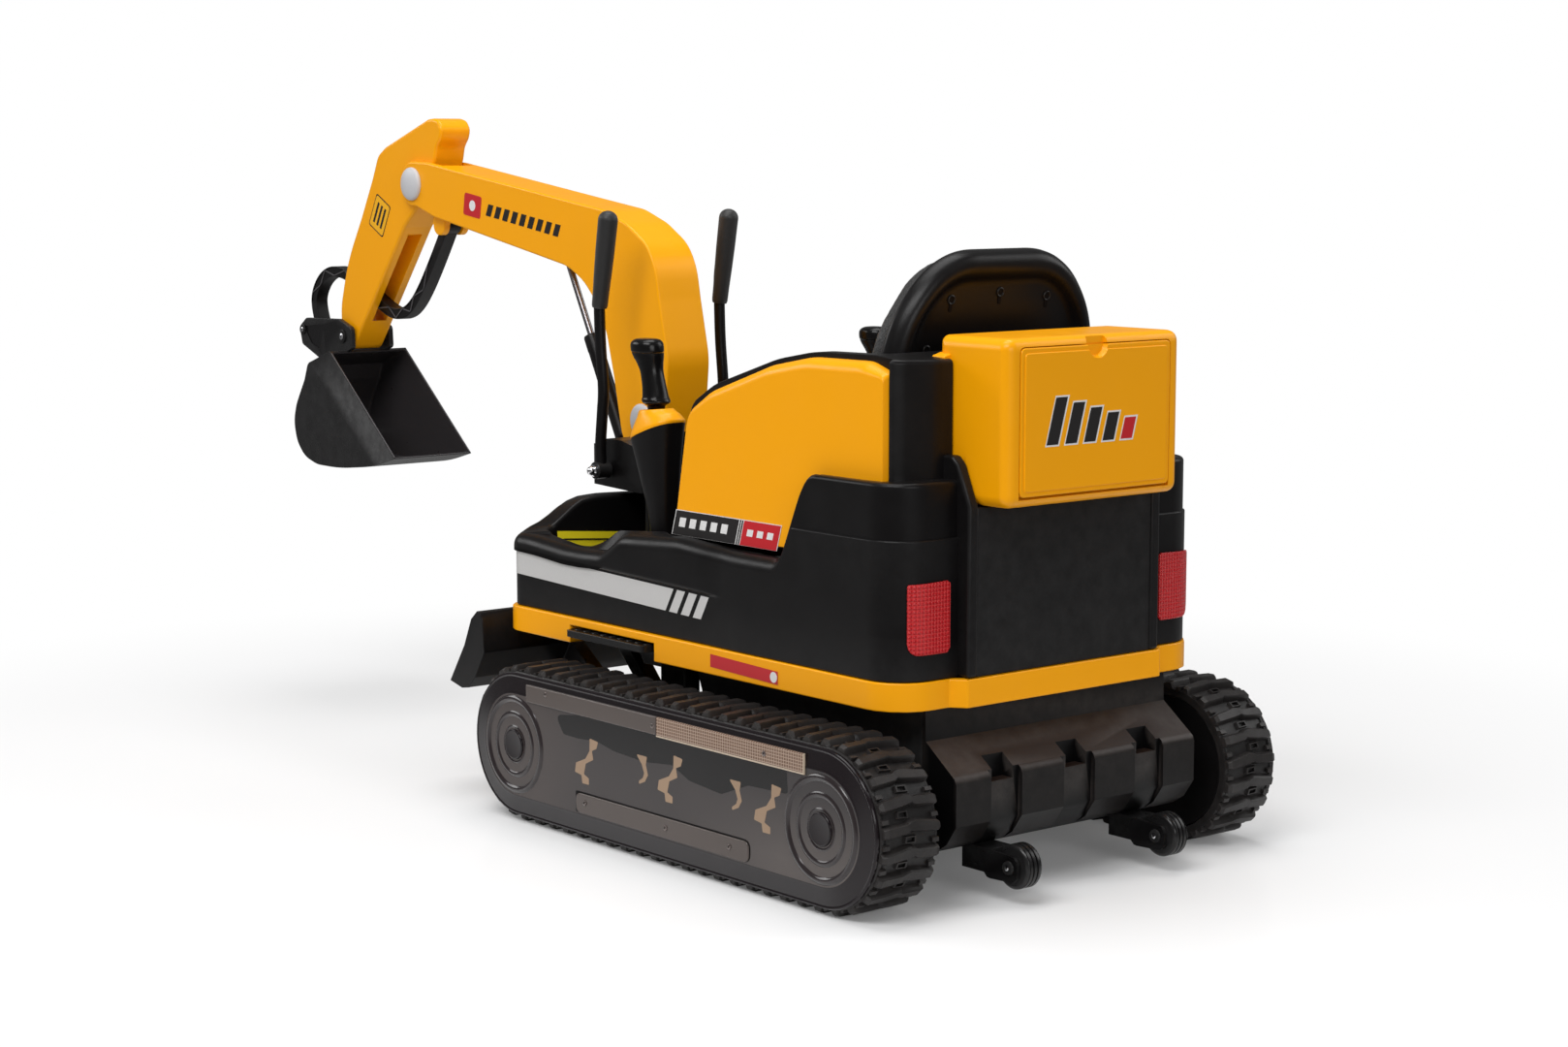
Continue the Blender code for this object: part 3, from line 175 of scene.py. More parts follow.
def plastic(name, colour, rough, coat=0.0, grain=0.1, vary=0.05, highlight=0.0, spec=0.5):
    """Moulded plastic: slow colour drift, uneven gloss, a fine mould texture and painted highlights on sharp edges.
    """
    made, tree, shader = graph(name)
    spot = place(tree)
    drift = noise_of(tree, spot, 6, 3)
    base = mix(tree, drift, shade(colour, 1 - vary), shade(colour, 1 + vary))
    # Painted highlight: sharp edges are mixed towards a lighter grey.
    if highlight:
        lighter = tuple(channel + (HIGHLIGHT_GREY - channel) * HIGHLIGHT_SHARE for channel in colour)
        base = mix(tree, calc(tree, "MULTIPLY", edge_wear(tree), highlight), base, lighter)
    handled = noise_of(tree, spot, 28, 5, 0.6)
    gloss = span(tree, handled, 0.3, 0.7, rough * 0.86, rough * 1.16)
    fine = noise_of(tree, spot, GRAIN_SCALE, 2)
    ripple = noise_of(tree, spot, 9, 1)
    normal = bump(tree, fine, grain, 0.0004, bump(tree, ripple, 0.025, 0.004))
    connect(tree, shader, colour=base, rough=gloss, normal=normal, coat=coat, coat_rough=0.12, spec=spec)
    return made


def track_rubber():
    """Moulded rubber: painted highlights on its sharp edges, fine pores, matt in the grooves."""
    made, tree, shader = graph("track_rubber")
    spot = place(tree)
    dust = noise_of(tree, spot, 35, 6, 0.7)
    base = mix(tree, span(tree, dust, 0.35, 0.75), (0.004, 0.0034, 0.0035), (0.0085, 0.0074, 0.0072))
    # Painted highlight: sharp edges mixed towards a lighter grey.
    base = mix(tree, calc(tree, "MULTIPLY", edge_wear(tree, 0.51, 0.62), 0.8), base, (0.055, 0.049, 0.047))
    pores = noise_of(tree, spot, 700, 3)
    lumps = noise_of(tree, spot, 120, 3)
    normal = bump(tree, pores, 0.22, 0.0005, bump(tree, lumps, 0.25, 0.001))
    connect(tree, shader, colour=base, rough=span(tree, dust, 0.3, 0.7, 0.36, 0.52), normal=normal, spec=0.28)
    return made


def grip_rubber():
    """Soft black sleeve with a fine dimple pattern."""
    made, tree, shader = graph("grip_rubber")
    spot = place(tree)
    dimples = cells(tree, spot, 420, random=0.3)
    base = mix(tree, noise_of(tree, spot, 30, 3), (0.009, 0.009, 0.009), (0.017, 0.016, 0.016))
    normal = bump(tree, dimples, 0.28, 0.0006)
    connect(tree, shader, colour=base, rough=span(tree, dimples, 0, 1, 0.44, 0.6), normal=normal, sheen=0.1)
    return made


def seat_vinyl():
    """Black upholstery vinyl: pebbled leather grain with finer wrinkles between the pebbles."""
    made, tree, shader = graph("seat_vinyl")
    spot = place(tree)
    wobble = noise_of(tree, spot, 160, 2)
    pebbles = cells(tree, spot, 330, "DISTANCE_TO_EDGE")
    skin = span(tree, pebbles, 0.0, 0.14)
    base = mix(tree, skin, (0.005, 0.005, 0.005), (0.018, 0.017, 0.017))
    normal = bump(tree, skin, 0.45, 0.0005, bump(tree, wobble, 0.25, 0.0012))
    connect(tree, shader, colour=base, rough=span(tree, skin, 0, 1, 0.62, 0.44), normal=normal, sheen=0.08)
    return made


def metal(name, colour, rough, stretch=(1, 1, 1)):
    """Metal with a drawn grain, faint smudges and hairline scratches."""
    made, tree, shader = graph(name)
    drawn = noise_of(tree, place(tree, stretch), 900, 3)
    smudge = noise_of(tree, place(tree), 22, 4)
    base = mix(tree, smudge, shade(colour, 0.86), shade(colour, 1.06))
    connect(tree, shader, colour=base, metal=1.0, rough=span(tree, smudge, 0.3, 0.7, rough * 0.7, rough * 1.4),
            normal=bump(tree, drawn, 0.1, 0.0002))
    return made


def red_lens():
    """Moulded reflector: a square grid of little pyramids under a clear red skin, with a faint painted red glow."""
    made, tree, shader = graph("red_lens")
    spot = place(tree)
    parts = add(tree, "ShaderNodeSeparateXYZ", {0: spot}).outputs
    pitch = 0.0042
    across = calc(tree, "PINGPONG", parts[0], pitch / 2)
    upward = calc(tree, "PINGPONG", parts[2], pitch / 2)
    line = calc(tree, "MINIMUM", across, upward)
    ridge = span(tree, line, 0.0, 0.0006, 1.0, 0.0)
    base = mix(tree, ridge, (0.4, 0.003, 0.008), (0.62, 0.05, 0.05))
    facets = calc(tree, "ADD", across, upward)
    normal = bump(tree, facets, 0.7, 0.8, bump(tree, ridge, 0.4, 0.0006))
    connect(tree, shader, colour=base, rough=0.28, normal=normal, coat=0.15, coat_rough=0.1, spec=0.2)
    # Painted glow: a faint red emission, though the reflector is no lamp.
    shader.inputs["Emission Color"].default_value = (0.8, 0.03, 0.03, 1)
    shader.inputs["Emission Strength"].default_value = 0.06
    return made


def foil(name, colour, rough, metallic=0.0, flake=0.0):
    """Printed vinyl sticker: even colour with a faint texture and, for silver, fine flake."""
    made, tree, shader = graph(name)
    spot = place(tree)
    specks = cells(tree, spot, 1500)
    base = mix(tree, specks, shade(colour, 1 - flake), shade(colour, 1 + flake))
    soft = noise_of(tree, spot, 12, 3)
    connect(tree, shader, colour=mix(tree, soft, base, shade(colour, 0.94)), metal=metallic,
            rough=span(tree, soft, 0.3, 0.7, rough * 0.9, rough * 1.1),
            normal=bump(tree, noise_of(tree, spot, 220, 2), 0.06, 0.0004))
    return made


def smoke_cover():
    """Smoked clear cover over a print: smooth glossy skin, grey-brown drift, warmer towards the rear."""
    made, tree, shader = graph("smoke_plastic")
    spot = place(tree)
    drift = noise_of(tree, spot, 5, 2)
    grey = mix(tree, drift, (0.026, 0.023, 0.024), (0.052, 0.044, 0.043))
    parts = add(tree, "ShaderNodeSeparateXYZ", {0: spot}).outputs
    rear = calc(tree, "MULTIPLY", span(tree, parts[1], 0.02, 0.2), span(tree, parts[2], 0.12, 0.05))
    tinted = mix(tree, calc(tree, "MULTIPLY", rear, 0.6), grey, (0.12, 0.102, 0.094))
    front = calc(tree, "MULTIPLY", span(tree, parts[1], -0.14, -0.24), 0.5)
    tinted = mix(tree, front, tinted, (0.075, 0.058, 0.052))
    smudge = noise_of(tree, spot, 26, 4)
    connect(tree, shader, colour=tinted, rough=span(tree, smudge, 0.3, 0.7, 0.12, 0.2), coat=0.15,
            coat_rough=0.06, spec=0.22, normal=bump(tree, noise_of(tree, spot, 10, 1), 0.04, 0.003))
    return made


def satin_slope():
    """Satin black plastic with a painted warm brown sheen on its upward slopes and painted highlights on sharp edges.
    """
    made, tree, shader = graph("bumper_satin")
    spot = place(tree)
    # Painted reflection: faces turned upwards get a warm brown base colour for the sheen they would catch.
    lift = add(tree, "ShaderNodeSeparateXYZ", {0: add(tree, "ShaderNodeNewGeometry").outputs["Normal"]}).outputs[2]
    base = mix(tree, span(tree, lift, 0.15, 0.75), (0.0022, 0.002, 0.0022), (0.021, 0.0125, 0.0095))
    drift = noise_of(tree, spot, 14, 4)
    # Painted highlight: sharp edges mixed towards a lighter grey.
    highlit = calc(tree, "MULTIPLY", edge_wear(tree), 0.6)
    base = mix(tree, highlit, base, (0.09, 0.078, 0.072))
    grain = bump(tree, noise_of(tree, spot, 900, 2), 0.16, 0.0004)
    connect(tree, shader, colour=base, rough=span(tree, drift, 0.3, 0.7, 0.34, 0.44), normal=grain, spec=0.2)
    return made


def honeycomb():
    """Amber reflector strip: pale hexagon cells under a smoked skin."""
    made, tree, shader = graph("amber_reflector")
    spot = place(tree, (0.001, 1, 1.15))
    wall = cells(tree, spot, 260, "DISTANCE_TO_EDGE", random=0.0)
    line = span(tree, wall, 0.05, 0.16, 1.0, 0.0)
    base = mix(tree, line, (0.15, 0.085, 0.055), (0.4, 0.29, 0.215))
    connect(tree, shader, colour=base, rough=0.24, coat=0.2, coat_rough=0.08, spec=0.3,
            normal=bump(tree, wall, 0.6, 0.0008))
    return made


YELLOW = plastic("yellow_plastic", (0.96, 0.392, 0.0012), 0.32, coat=0.05, grain=0.03, vary=0.014, spec=0.22)
# highlight= sets how strongly sharp edges get the painted highlight.
BLACK = plastic("black_plastic", (0.0042, 0.0036, 0.0038), 0.34, grain=0.08, vary=0.12, highlight=0.3, spec=0.2)
GLOSS = plastic("black_gloss", (0.0036, 0.0033, 0.0035), 0.22, grain=0.03, vary=0.1, highlight=0.3, spec=0.26)
SATIN = satin_slope()
DIG_BLACK = plastic("digging_black", (0.0038, 0.0032, 0.0036), 0.27, grain=0.05, vary=0.1, highlight=1.1, spec=0.24)
# Painted light: the bucket's inside is the same black plastic, made lighter grey to stand in for light it would
# catch.
BUCKET_INSIDE_LIT = plastic("bucket_inside", (0.042, 0.038, 0.04), 0.3, grain=0.05, vary=0.12, spec=0.5)
# Painted highlight: light grey for thin ribs and beads on black plastic, for the light their edges catch.
RIB_HIGHLIGHT = plastic("rib_grey", (0.085, 0.08, 0.085), 0.35, grain=0.05, vary=0.1, spec=0.3)
ROD_STEEL = metal("rod_steel", (0.22, 0.21, 0.22), 0.3, (1, 1, 0.02))
DARK_SMOKE = plastic("smoke_border", (0.0095, 0.0065, 0.0078), 0.18, coat=0.12, grain=0.02, vary=0.12, spec=0.22)
HUB_SMOKE = plastic("smoke_hub", (0.022, 0.0165, 0.0175), 0.15, coat=0.25, grain=0.02, vary=0.12, spec=0.35)
PRINT_DARK = plastic("print_dark", (0.0042, 0.0036, 0.0038), 0.18, coat=0.1, grain=0.02, vary=0.2, spec=0.22)
PRINT_SAND = plastic("print_sand", (0.3, 0.2, 0.125), 0.2, coat=0.12, grain=0.02, vary=0.15, spec=0.3)
CAP = plastic("grey_cap", (0.56, 0.56, 0.58), 0.4, grain=0.06, vary=0.03)
MOTOR = plastic("motor_grey", (0.17, 0.17, 0.18), 0.42, grain=0.15, vary=0.1, highlight=0.4)
RUBBER = track_rubber()
GRIP = grip_rubber()
VINYL = seat_vinyl()
STEEL = metal("steel", (0.56, 0.56, 0.58), 0.25, (1, 1, 0.02))
CHROME = metal("chrome", (0.8, 0.8, 0.82), 0.08)
LENS = red_lens()
SMOKE = smoke_cover()
AMBER = honeycomb()
SILVER = foil("silver_foil", (0.68, 0.67, 0.66), 0.34, 0.25, 0.12)
RED_FOIL = foil("red_foil", (0.56, 0.012, 0.02), 0.3)
BLACK_FOIL = foil("black_foil", (0.012, 0.01, 0.01), 0.28)
PALE_FOIL = foil("pale_foil", (0.8, 0.79, 0.78), 0.32)
YELLOW_FOIL = foil("yellow_foil", (0.97, 0.8, 0.02), 0.3)
SIGN_FOIL = foil("sign_foil", (0.95, 0.47, 0.006), 0.3)
SLOT_MATERIAL = {"yellow_plastic": YELLOW, "black_plastic": BLACK, "track_rubber": RUBBER, "grip_rubber": GRIP,
                 "smoke_plastic": SMOKE, "grey_cap": CAP, "steel": STEEL, "red_lens": LENS,
                 "seat_vinyl": VINYL, "motor_grey": MOTOR}


# ---------------------------------------------------------------- mesh building blocks
def finish(name, bm, material, angle=38):
    bmesh.ops.recalc_face_normals(bm, faces=bm.faces)
    mesh = bpy.data.meshes.new(name)
    bm.to_mesh(mesh)
    bm.free()
    mesh.shade_smooth()
    mesh.set_sharp_from_angle(angle=radians(angle))
    made = bpy.data.objects.new(name, mesh)
    bpy.context.scene.collection.objects.link(made)
    mesh.materials.append(material)
    return made


def bake(made):
    """Applies every modifier of the object to its mesh."""
    graph_now = bpy.context.evaluated_depsgraph_get()
    mesh = bpy.data.meshes.new_from_object(made.evaluated_get(graph_now))
    made.modifiers.clear()
    made.data = mesh
    return made


def round_edges(made, width, segments=3, angle=32):
    rounding = made.modifiers.new("round", "BEVEL")
    rounding.width = width
    rounding.segments = segments
    rounding.limit_method = "ANGLE"
    rounding.angle_limit = radians(angle)
    return bake(made)


def weigh_normals(made):
    """Keeps flat faces flat beside their rounded edges."""
    custom = made.data.attributes.get("custom_normal")
    if custom:
        made.data.attributes.remove(custom)
    step = made.modifiers.new("normals", "WEIGHTED_NORMAL")
    step.keep_sharp = True
    step.weight = 60
    return bake(made)


def combine(made, others, operation):
    for other in others:
        step = made.modifiers.new("boolean", "BOOLEAN")
        step.operation = operation
        step.solver = "EXACT"
        step.object = other
        bake(made)
        bpy.data.objects.remove(other)
    made.data.set_sharp_from_angle(angle=radians(38))
    return made


def carve(made, *others):
    return combine(made, others, "DIFFERENCE")


def weld(made, *others):
    return combine(made, others, "UNION")


def merge(name, parts):
    """One object from several, each keeping its own materials."""
    bm = bmesh.new()
    materials = []
    for part in parts:
        mesh = part.data
        slots = []
        for material in mesh.materials:
            if material not in materials:
                materials.append(material)
            slots.append(materials.index(material))
        first = len(bm.faces)
        bm.from_mesh(mesh)
        bm.faces.ensure_lookup_table()
        for face in bm.faces[first:]:
            face.material_index = slots[face.material_index] if slots else 0
    made_mesh = bpy.data.meshes.new(name)
    bm.to_mesh(made_mesh)
    bm.free()
    for material in materials:
        made_mesh.materials.append(material)
    for part in parts:
        bpy.data.objects.remove(part)
    made = bpy.data.objects.new(name, made_mesh)
    bpy.context.scene.collection.objects.link(made)
    return made


def twin(made, name):
    """Mirror image of a piece across the centre plane."""
    mesh = made.data.copy()
    for vertex in mesh.vertices:
        vertex.co.x = -vertex.co.x
    mesh.flip_normals()
    other = bpy.data.objects.new(name, mesh)
    bpy.context.scene.collection.objects.link(other)
    return other


def arc(centre, radius, start, end, steps):
    a, b = radians(start), radians(end)
    angles = [a + (b - a) * k / steps for k in range(steps + 1)]
    return [(centre[0] + radius * cos(t), centre[1] + radius * sin(t)) for t in angles]


def four(a, b):
    """The corners of a rectangle between two ranges."""
    return [(a[0], b[0]), (a[1], b[0]), (a[1], b[1]), (a[0], b[1])]


def filleted(corners, radius, steps=8):
    """Polygon with rounded corners; a corner may carry its own radius."""
    out = []
    count = len(corners)
    for i, corner in enumerate(corners):
        here = Vector(corner[:2])
        to_back = (Vector(corners[i - 1][:2]) - here)
        to_next = (Vector(corners[(i + 1) % count][:2]) - here)
        r = corner[2] if len(corner) > 2 else radius
        half = to_back.angle(to_next) / 2
        reach = min(r / max(1e-6, abs(sin(half) / cos(half))) if half < pi / 2 - 1e-3 else 0,
                    to_back.length * 0.49, to_next.length * 0.49)
        if reach < 1e-6:
            out.append(here)
            continue
        a, b = here + to_back.normalized() * reach, here + to_next.normalized() * reach
        for k in range(steps + 1):
            t = k / steps
            out.append(a * (1 - t) ** 2 + here * 2 * t * (1 - t) + b * t ** 2)
    return [tuple(point) for point in out]


def smooth_line(points, per=6):
    """Catmull-Rom curve through open points."""
    out = []
    pts = [Vector(p) for p in points]
    for i in range(len(pts) - 1):
        p0, p1, p2, p3 = pts[max(i - 1, 0)], pts[i], pts[i + 1], pts[min(i + 2, len(pts) - 1)]
        for k in range(per):
            t = k / per
            out.append(0.5 * ((2 * p1) + (p2 - p0) * t + (2 * p0 - 5 * p1 + 4 * p2 - p3) * t * t
                              + (3 * p1 - p0 - 3 * p2 + p3) * t ** 3))
    return [tuple(p) for p in out] + [tuple(pts[-1])]


def at(axis, along, a, b):
    return {"X": (along, a, b), "Y": (a, along, b), "Z": (a, b, along)}[axis]


def loft(name, sections, material, caps=True, ring=False, angle=38):
    """Skin through equal closed loops of points; ring joins the last loop to the first."""
    bm = bmesh.new()
    loops = [[bm.verts.new(point) for point in section] for section in sections]
    pairs = list(zip(loops, loops[1:])) + ([(loops[-1], loops[0])] if ring else [])
    for low, high in pairs:
        for i in range(len(low)):
            bm.faces.new((low[i - 1], low[i], high[i], high[i - 1]))
    if caps and not ring:
        bm.faces.new(loops[0])
        bm.faces.new(loops[-1])
    return finish(name, bm, material, angle)


def fine_loft(name, sections, per, material):
    """Loft whose sections are joined by smooth curves."""
    lines = [smooth_line(line, per) for line in zip(*sections)]
    return loft(name, [list(row) for row in zip(*lines)], material)


def ribbon(name, rows, material):
    """Single sheet through rows of two points."""
    bm = bmesh.new()
    loops = [[bm.verts.new(point) for point in row] for row in rows]
    for a, b in zip(loops, loops[1:]):
        bm.faces.new((a[0], b[0], b[1], a[1]))
    return finish(name, bm, material)


def prism(name, outline, axis, low, high, material):
    return loft(name, [[at(axis, t, a, b) for a, b in outline] for t in (low, high)], material)


def block(name, x, y, z, material):
    return prism(name, four(x, y), "Z", *z, material)


def turned(name, profile, start, direction, material, steps=48, ring=False):
    """Solid of revolution: profile holds (radius, distance) along direction from start."""
    bm = bmesh.new()
    turn = Vector(direction).to_track_quat("Z", "Y")
    rings = []
    for radius, along in profile:
        count = steps if radius > 1e-6 else 1
        loop = []
        for k in range(count):
            t = 2 * pi * k / steps
            loop.append(bm.verts.new(Vector(start) + turn @ Vector((radius * cos(t), radius * sin(t), along))))
        rings.append(loop)
    pairs = list(zip(rings, rings[1:])) + ([(rings[-1], rings[0])] if ring else [])
    for low, high in pairs:
        for k in range(steps):
            corners = [low[(k - 1) % len(low)], low[k % len(low)]]
            corners += [high[k % len(high)], high[(k - 1) % len(high)]]
            unique = list(dict.fromkeys(corners))
            if len(unique) > 2:
                bm.faces.new(unique)
    return finish(name, bm, material)


def rod(name, radius, x, spot, material, steps=32):
    """Round bar across the object between two x values."""
    length = x[1] - x[0]
    return turned(name, [(0, 0), (radius, 0), (radius, length), (0, length)], (x[0], *spot), (1, 0, 0),
                  material, steps)


def sweep(name, path, radii, material, sides):
    """Round bar along a path, with one radius per point."""
    sections = []
    for i, (point, radius) in enumerate(zip(path, radii)):
        ahead = Vector(path[min(i + 1, len(path) - 1)]) - Vector(path[max(i - 1, 0)])
        across = Vector((1, 0, 0))
        across = (across - ahead * (across.dot(ahead) / ahead.length_squared)).normalized()
        away = ahead.normalized().cross(across)
        turns = [2 * pi * k / sides for k in range(sides)]
        sections.append([Vector(point) + (across * cos(t) + away * sin(t)) * radius for t in turns])
    return loft(name, sections, material, angle=60)


def polished(node, width=0.0014, material=None):
    """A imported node's mesh with its flat faces joined again and its edges rounded."""
    source = frame["nodes"][node]
    bm = bmesh.new()
    bm.from_mesh(source.data)
    bmesh.ops.translate(bm, vec=(0, -TRACKS_MIDDLE, 0), verts=bm.verts)
    bmesh.ops.remove_doubles(bm, verts=bm.verts, dist=2e-6)
    bmesh.ops.dissolve_limit(bm, angle_limit=radians(0.6), verts=bm.verts, edges=bm.edges)
    return round_edges(finish(node + "_shell", bm, material or SLOT_MATERIAL[SLOT[node]]), width)


def extra(made, body):
    """Puts a piece in its place in the row's frame, on a body that carries it."""
    weigh_normals(made)
    made.location.y += TRACKS_MIDDLE
    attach(made, body)
    return made


def show(made, node):
    """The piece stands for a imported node: it rides on that node's body and hides it."""
    extra(made, BODY[node])
    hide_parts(node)


def right_of(made):
    """Mirror image of a left piece, under the right piece's name."""
    name = made.name.replace("left", "right")
    return twin(made, name if name != made.name else name + "_right")


def pair(made, node):
    """Shows a left piece and its mirror image on the right."""
    show(made, node)
    show(right_of(made), node.replace("left", "right"))


def extra_pair(made):
    """Adds a left piece and its mirror image to the house."""
    extra(made, "house")
    extra(right_of(made), "house")


def screw_head(spot, direction, radius, material):
    """Pan head with a dimple in its middle."""
    shares = ((0.93, 0.22), (0.7, 0.36), (0.34, 0.42), (0.3, 0.1), (0.0, 0.06))
    profile = [(radius, -0.0006), (radius, 0.0)] + [(radius * a, radius * b) for a, b in shares]
    return turned("screw", profile, spot, direction, material, 20)


# ---------------------------------------------------------------- tracks
HUB_Z = PIVOT["drive_left_spin"][2]
HUBS = (PIVOT["idler_left_spin"][1], PIVOT["drive_left_spin"][1])
BELT_X = edges("track_belt_left")[0]
COVER_X = edges("track_cover_left")[0]
LUGS, LUG_HEIGHT = 60, 0.0075
BELT_BASE = HUB_Z - LUG_HEIGHT
BELT_INNER = BELT_BASE - 0.0085
COVER_RADIUS = (edges("track_cover_left")[2][1] - edges("track_cover_left")[2][0]) / 2
HUB_RING = 0.0565


def around(way, radius):
    """Point on the belt: way along its outer length from the front hub's underside, at a radius."""
    straight, bend = HUBS[1] - HUBS[0], pi * HUB_Z
    way %= 2 * (straight + bend)
    if way < straight:
        return HUBS[0] + way, HUB_Z - radius
    way -= straight
    if way < bend:
        turn = -pi / 2 + pi * way / bend
        return HUBS[1] + radius * cos(turn), HUB_Z + radius * sin(turn)
    way -= bend
    if way < straight:
        return HUBS[1] - way, HUB_Z + radius
    turn = pi / 2 + pi * (way - straight) / bend
    return HUBS[0] + radius * cos(turn), HUB_Z + radius * sin(turn)


PITCH = 2 * (HUBS[1] - HUBS[0] + pi * HUB_Z) / LUGS


def belt_skin():
    """Belt without lugs: a thin band with a lip along each edge and a groove beside the lip."""
    (low, high), base, inner = BELT_X, BELT_BASE, BELT_INNER
    profile = [(low, inner), (low, base - 0.003), (low + 0.0008, base - 0.0008), (low + 0.005, base - 0.0008),
               (low + 0.006, base), (high - 0.007, base), (high - 0.006, base - 0.001),
               (high - 0.004, base - 0.001), (high - 0.0032, base + 0.0004), (high - 0.001, base + 0.0004),
               (high, base - 0.001), (high, inner)]
    steps = LUGS * 5
    sections = [[(x, *around(PITCH * LUGS * k / steps, r)) for x, r in profile] for k in range(steps)]
    return loft("belt_skin", sections, RUBBER, ring=True, angle=30)


def tread_lug(k):
    """Wedge bar right across the belt, bent in the middle, chamfered on top and lower at its ends."""
    (low, high), middle = BELT_X, sum(BELT_X) / 2
    lean = 1 if k % 2 else -1
    centre = PITCH * (k + 0.28)
    stations = ((low + 0.0005, -0.003, 0.0036, 0.003), (low + 0.0045, -0.0028, 0.005, 0.0004),
                (middle - 0.015, -0.0004, 0.0056, 0.0), (middle - 0.004, 0.0016, 0.006, 0.0),
                (middle + 0.003, 0.0016, 0.0048, 0.0), (middle + 0.007, -0.001, 0.0048, 0.0),
                (high - 0.006, -0.0026, 0.0054, 0.0), (high - 0.0012, -0.003, 0.0046, 0.0022))
    sections = []
    for x, skew, half, drop in stations:
        if lean < 0:
            x = low + high - x
        way, top = centre + skew * 0.9, HUB_Z - drop
        shape = ((-half - 0.0018, BELT_BASE - 0.001), (-half - 0.0006, top - 0.0022), (-half + 0.0008, top),
                 (half - 0.0012, top), (half + 0.0004, top - 0.002), (half + 0.0022, BELT_BASE - 0.001))
        sections.append([(x, *around(way + step, radius)) for step, radius in shape])
    return loft("lug", sections, RUBBER, angle=24)


def tread_pit(k):
    """Small raised frame between two lugs with a dark pit in it, and a tab at the belt's outer edge."""
    shift = 0.005 if k % 2 else -0.003
    x, way = sum(BELT_X) / 2 + 0.004 + shift, PITCH * (k + 0.79)
    rings = ((0.0082, 0.0052, -0.001), (0.007, 0.004, 0.003), (0.005, 0.0026, 0.003),
             (0.0042, 0.002, -0.002))
    sections = []
    for half, deep, rise in rings:
        corners = ((-half, -deep), (half, -deep * 0.7), (half * 0.9, deep), (-half, deep * 0.9))
        sections.append([(x + a, *around(way + b, BELT_BASE + rise)) for a, b in corners])
    pit = loft("pit", sections, RUBBER, angle=24)
    tabs = []
    for edge in (BELT_X[1] - 0.0055, BELT_X[0] + 0.0055):
        way = PITCH * (k + 0.6)
        shape = ((-0.0024, -0.001), (-0.0018, 0.0036), (0.0026, 0.003), (0.004, -0.001))
        ends = (edge - 0.0042, edge + 0.0044)
        tabs.append(loft("tab", [[(x, *around(way + a, BELT_BASE + b)) for a, b in shape] for x in ends],
                         RUBBER, angle=24))
    return [pit] + tabs


def stadium(radius, steps=28):
    low = arc((HUBS[1], HUB_Z), radius, -90, 90, steps)
    return low + arc((HUBS[0], HUB_Z), radius, 90, 270, steps)


def hub_disc(y):
    """Concentric ripples round a hub, with a knob in the middle."""
    ripples = [(HUB_RING + wide, rise) for wide, rise in
               ((0.002, -0.0014), (0.0, 0.0004), (-0.0015, 0.0018), (-0.0038, 0.0023), (-0.0062, 0.0016),
                (-0.008, -0.0004), (-0.0098, -0.002))]
    ripples += [(0.042, -0.0024), (0.0398, -0.0014), (0.038, 0.0006), (0.0355, 0.0013), (0.033, 0.0006),
                (0.0312, -0.0014), (0.029, -0.0024), (0.0262, -0.0026), (0.024, -0.0018), (0.0225, -0.0002),
                (0.0208, 0.0006), (0.0192, 0.0), (0.0184, -0.0022)]
    knob = [(0.018, -0.0022), (0.0176, 0.0012), (0.0168, 0.0022), (0.0156, 0.0025), (0.014, 0.0019),
            (0.0, 0.0019)]
    start = (COVER_X[1] - 0.0028, y, HUB_Z)
    disc = turned("hub_disc", ripples + knob[:1], start, (1, 0, 0), HUB_SMOKE, 72)
    return [disc, turned("hub_knob", knob, start, (1, 0, 0), DARK_SMOKE, 40)]


def long_bar(name, y, z, rise, radius, material):
    """Raised bar on the cover with softened edges."""
    face = COVER_X[1] - 0.0026
    bar = prism(name, filleted(four(y, z), radius, 8), "X", face - 0.002, face + rise, material)
    return round_edges(bar, 0.0012)


def printed(name, outline, material, lift):
    """Patch of the print that shows through the cover."""
    face = COVER_X[1] - 0.00285
    return prism(name, outline, "X", face - 0.0004, face + lift, material)


def print_patches():
    """Dark cloud along the upper bar and three groups of stepped sand patches below it."""
    top = HUB_Z + 0.053
    cloud = ((-0.196, 0.006, 0.01), (-0.18, 0.026, 0.006), (-0.15, 0.0265, 0.01), (-0.118, 0.024, 0.01),
             (-0.085, 0.03, 0.012), (-0.03, 0.033, 0.012), (0.02, 0.028, 0.012), (0.05, 0.04, 0.012),
             (0.105, 0.045, 0.012), (0.15, 0.028, 0.012), (0.214, 0.026, 0.004), (0.212, 0.0, 0.002),
             (-0.15, 0.0, 0.03))
    cloud = filleted([(y, top - drop, corner) for y, drop, corner in cloud], 0.01, 5)
    parts = [printed("cloud", cloud, PRINT_DARK, 0.00005)]
    hook = ((-0.033, 0.03), (-0.008, 0.03), (-0.011, 0.02), (-0.006, 0.008), (-0.013, -0.001),
            (-0.027, -0.006), (-0.027, -0.002), (-0.018, 0.003), (-0.015, 0.009), (-0.02, 0.019))
    wave = ((0.013, 0.034), (0.033, 0.032), (0.029, 0.023), (0.018, 0.019), (0.021, 0.008),
            (0.003, 0.001), (-0.002, -0.013), (0.01, -0.017), (0.01, -0.025), (-0.006, -0.025),
            (-0.008, -0.015), (-0.024, -0.013), (-0.021, -0.001), (0.002, 0.007), (0.012, 0.018))
    end = HUBS[1] - HUB_RING - 0.004
    for y, z, shape in ((-0.14, 0.09, wave), (-0.018, 0.09, hook), (0.013, 0.096, wave),
                        (0.144, 0.09, hook), (0.178, 0.093, wave)):
        outline = [(min(y + a * 0.78, end), z + b * 0.9, 0.0012) for a, b in shape]
        parts.append(printed("sand", filleted(outline, 0.001, 2), PRINT_SAND, 0.0001))
    return parts


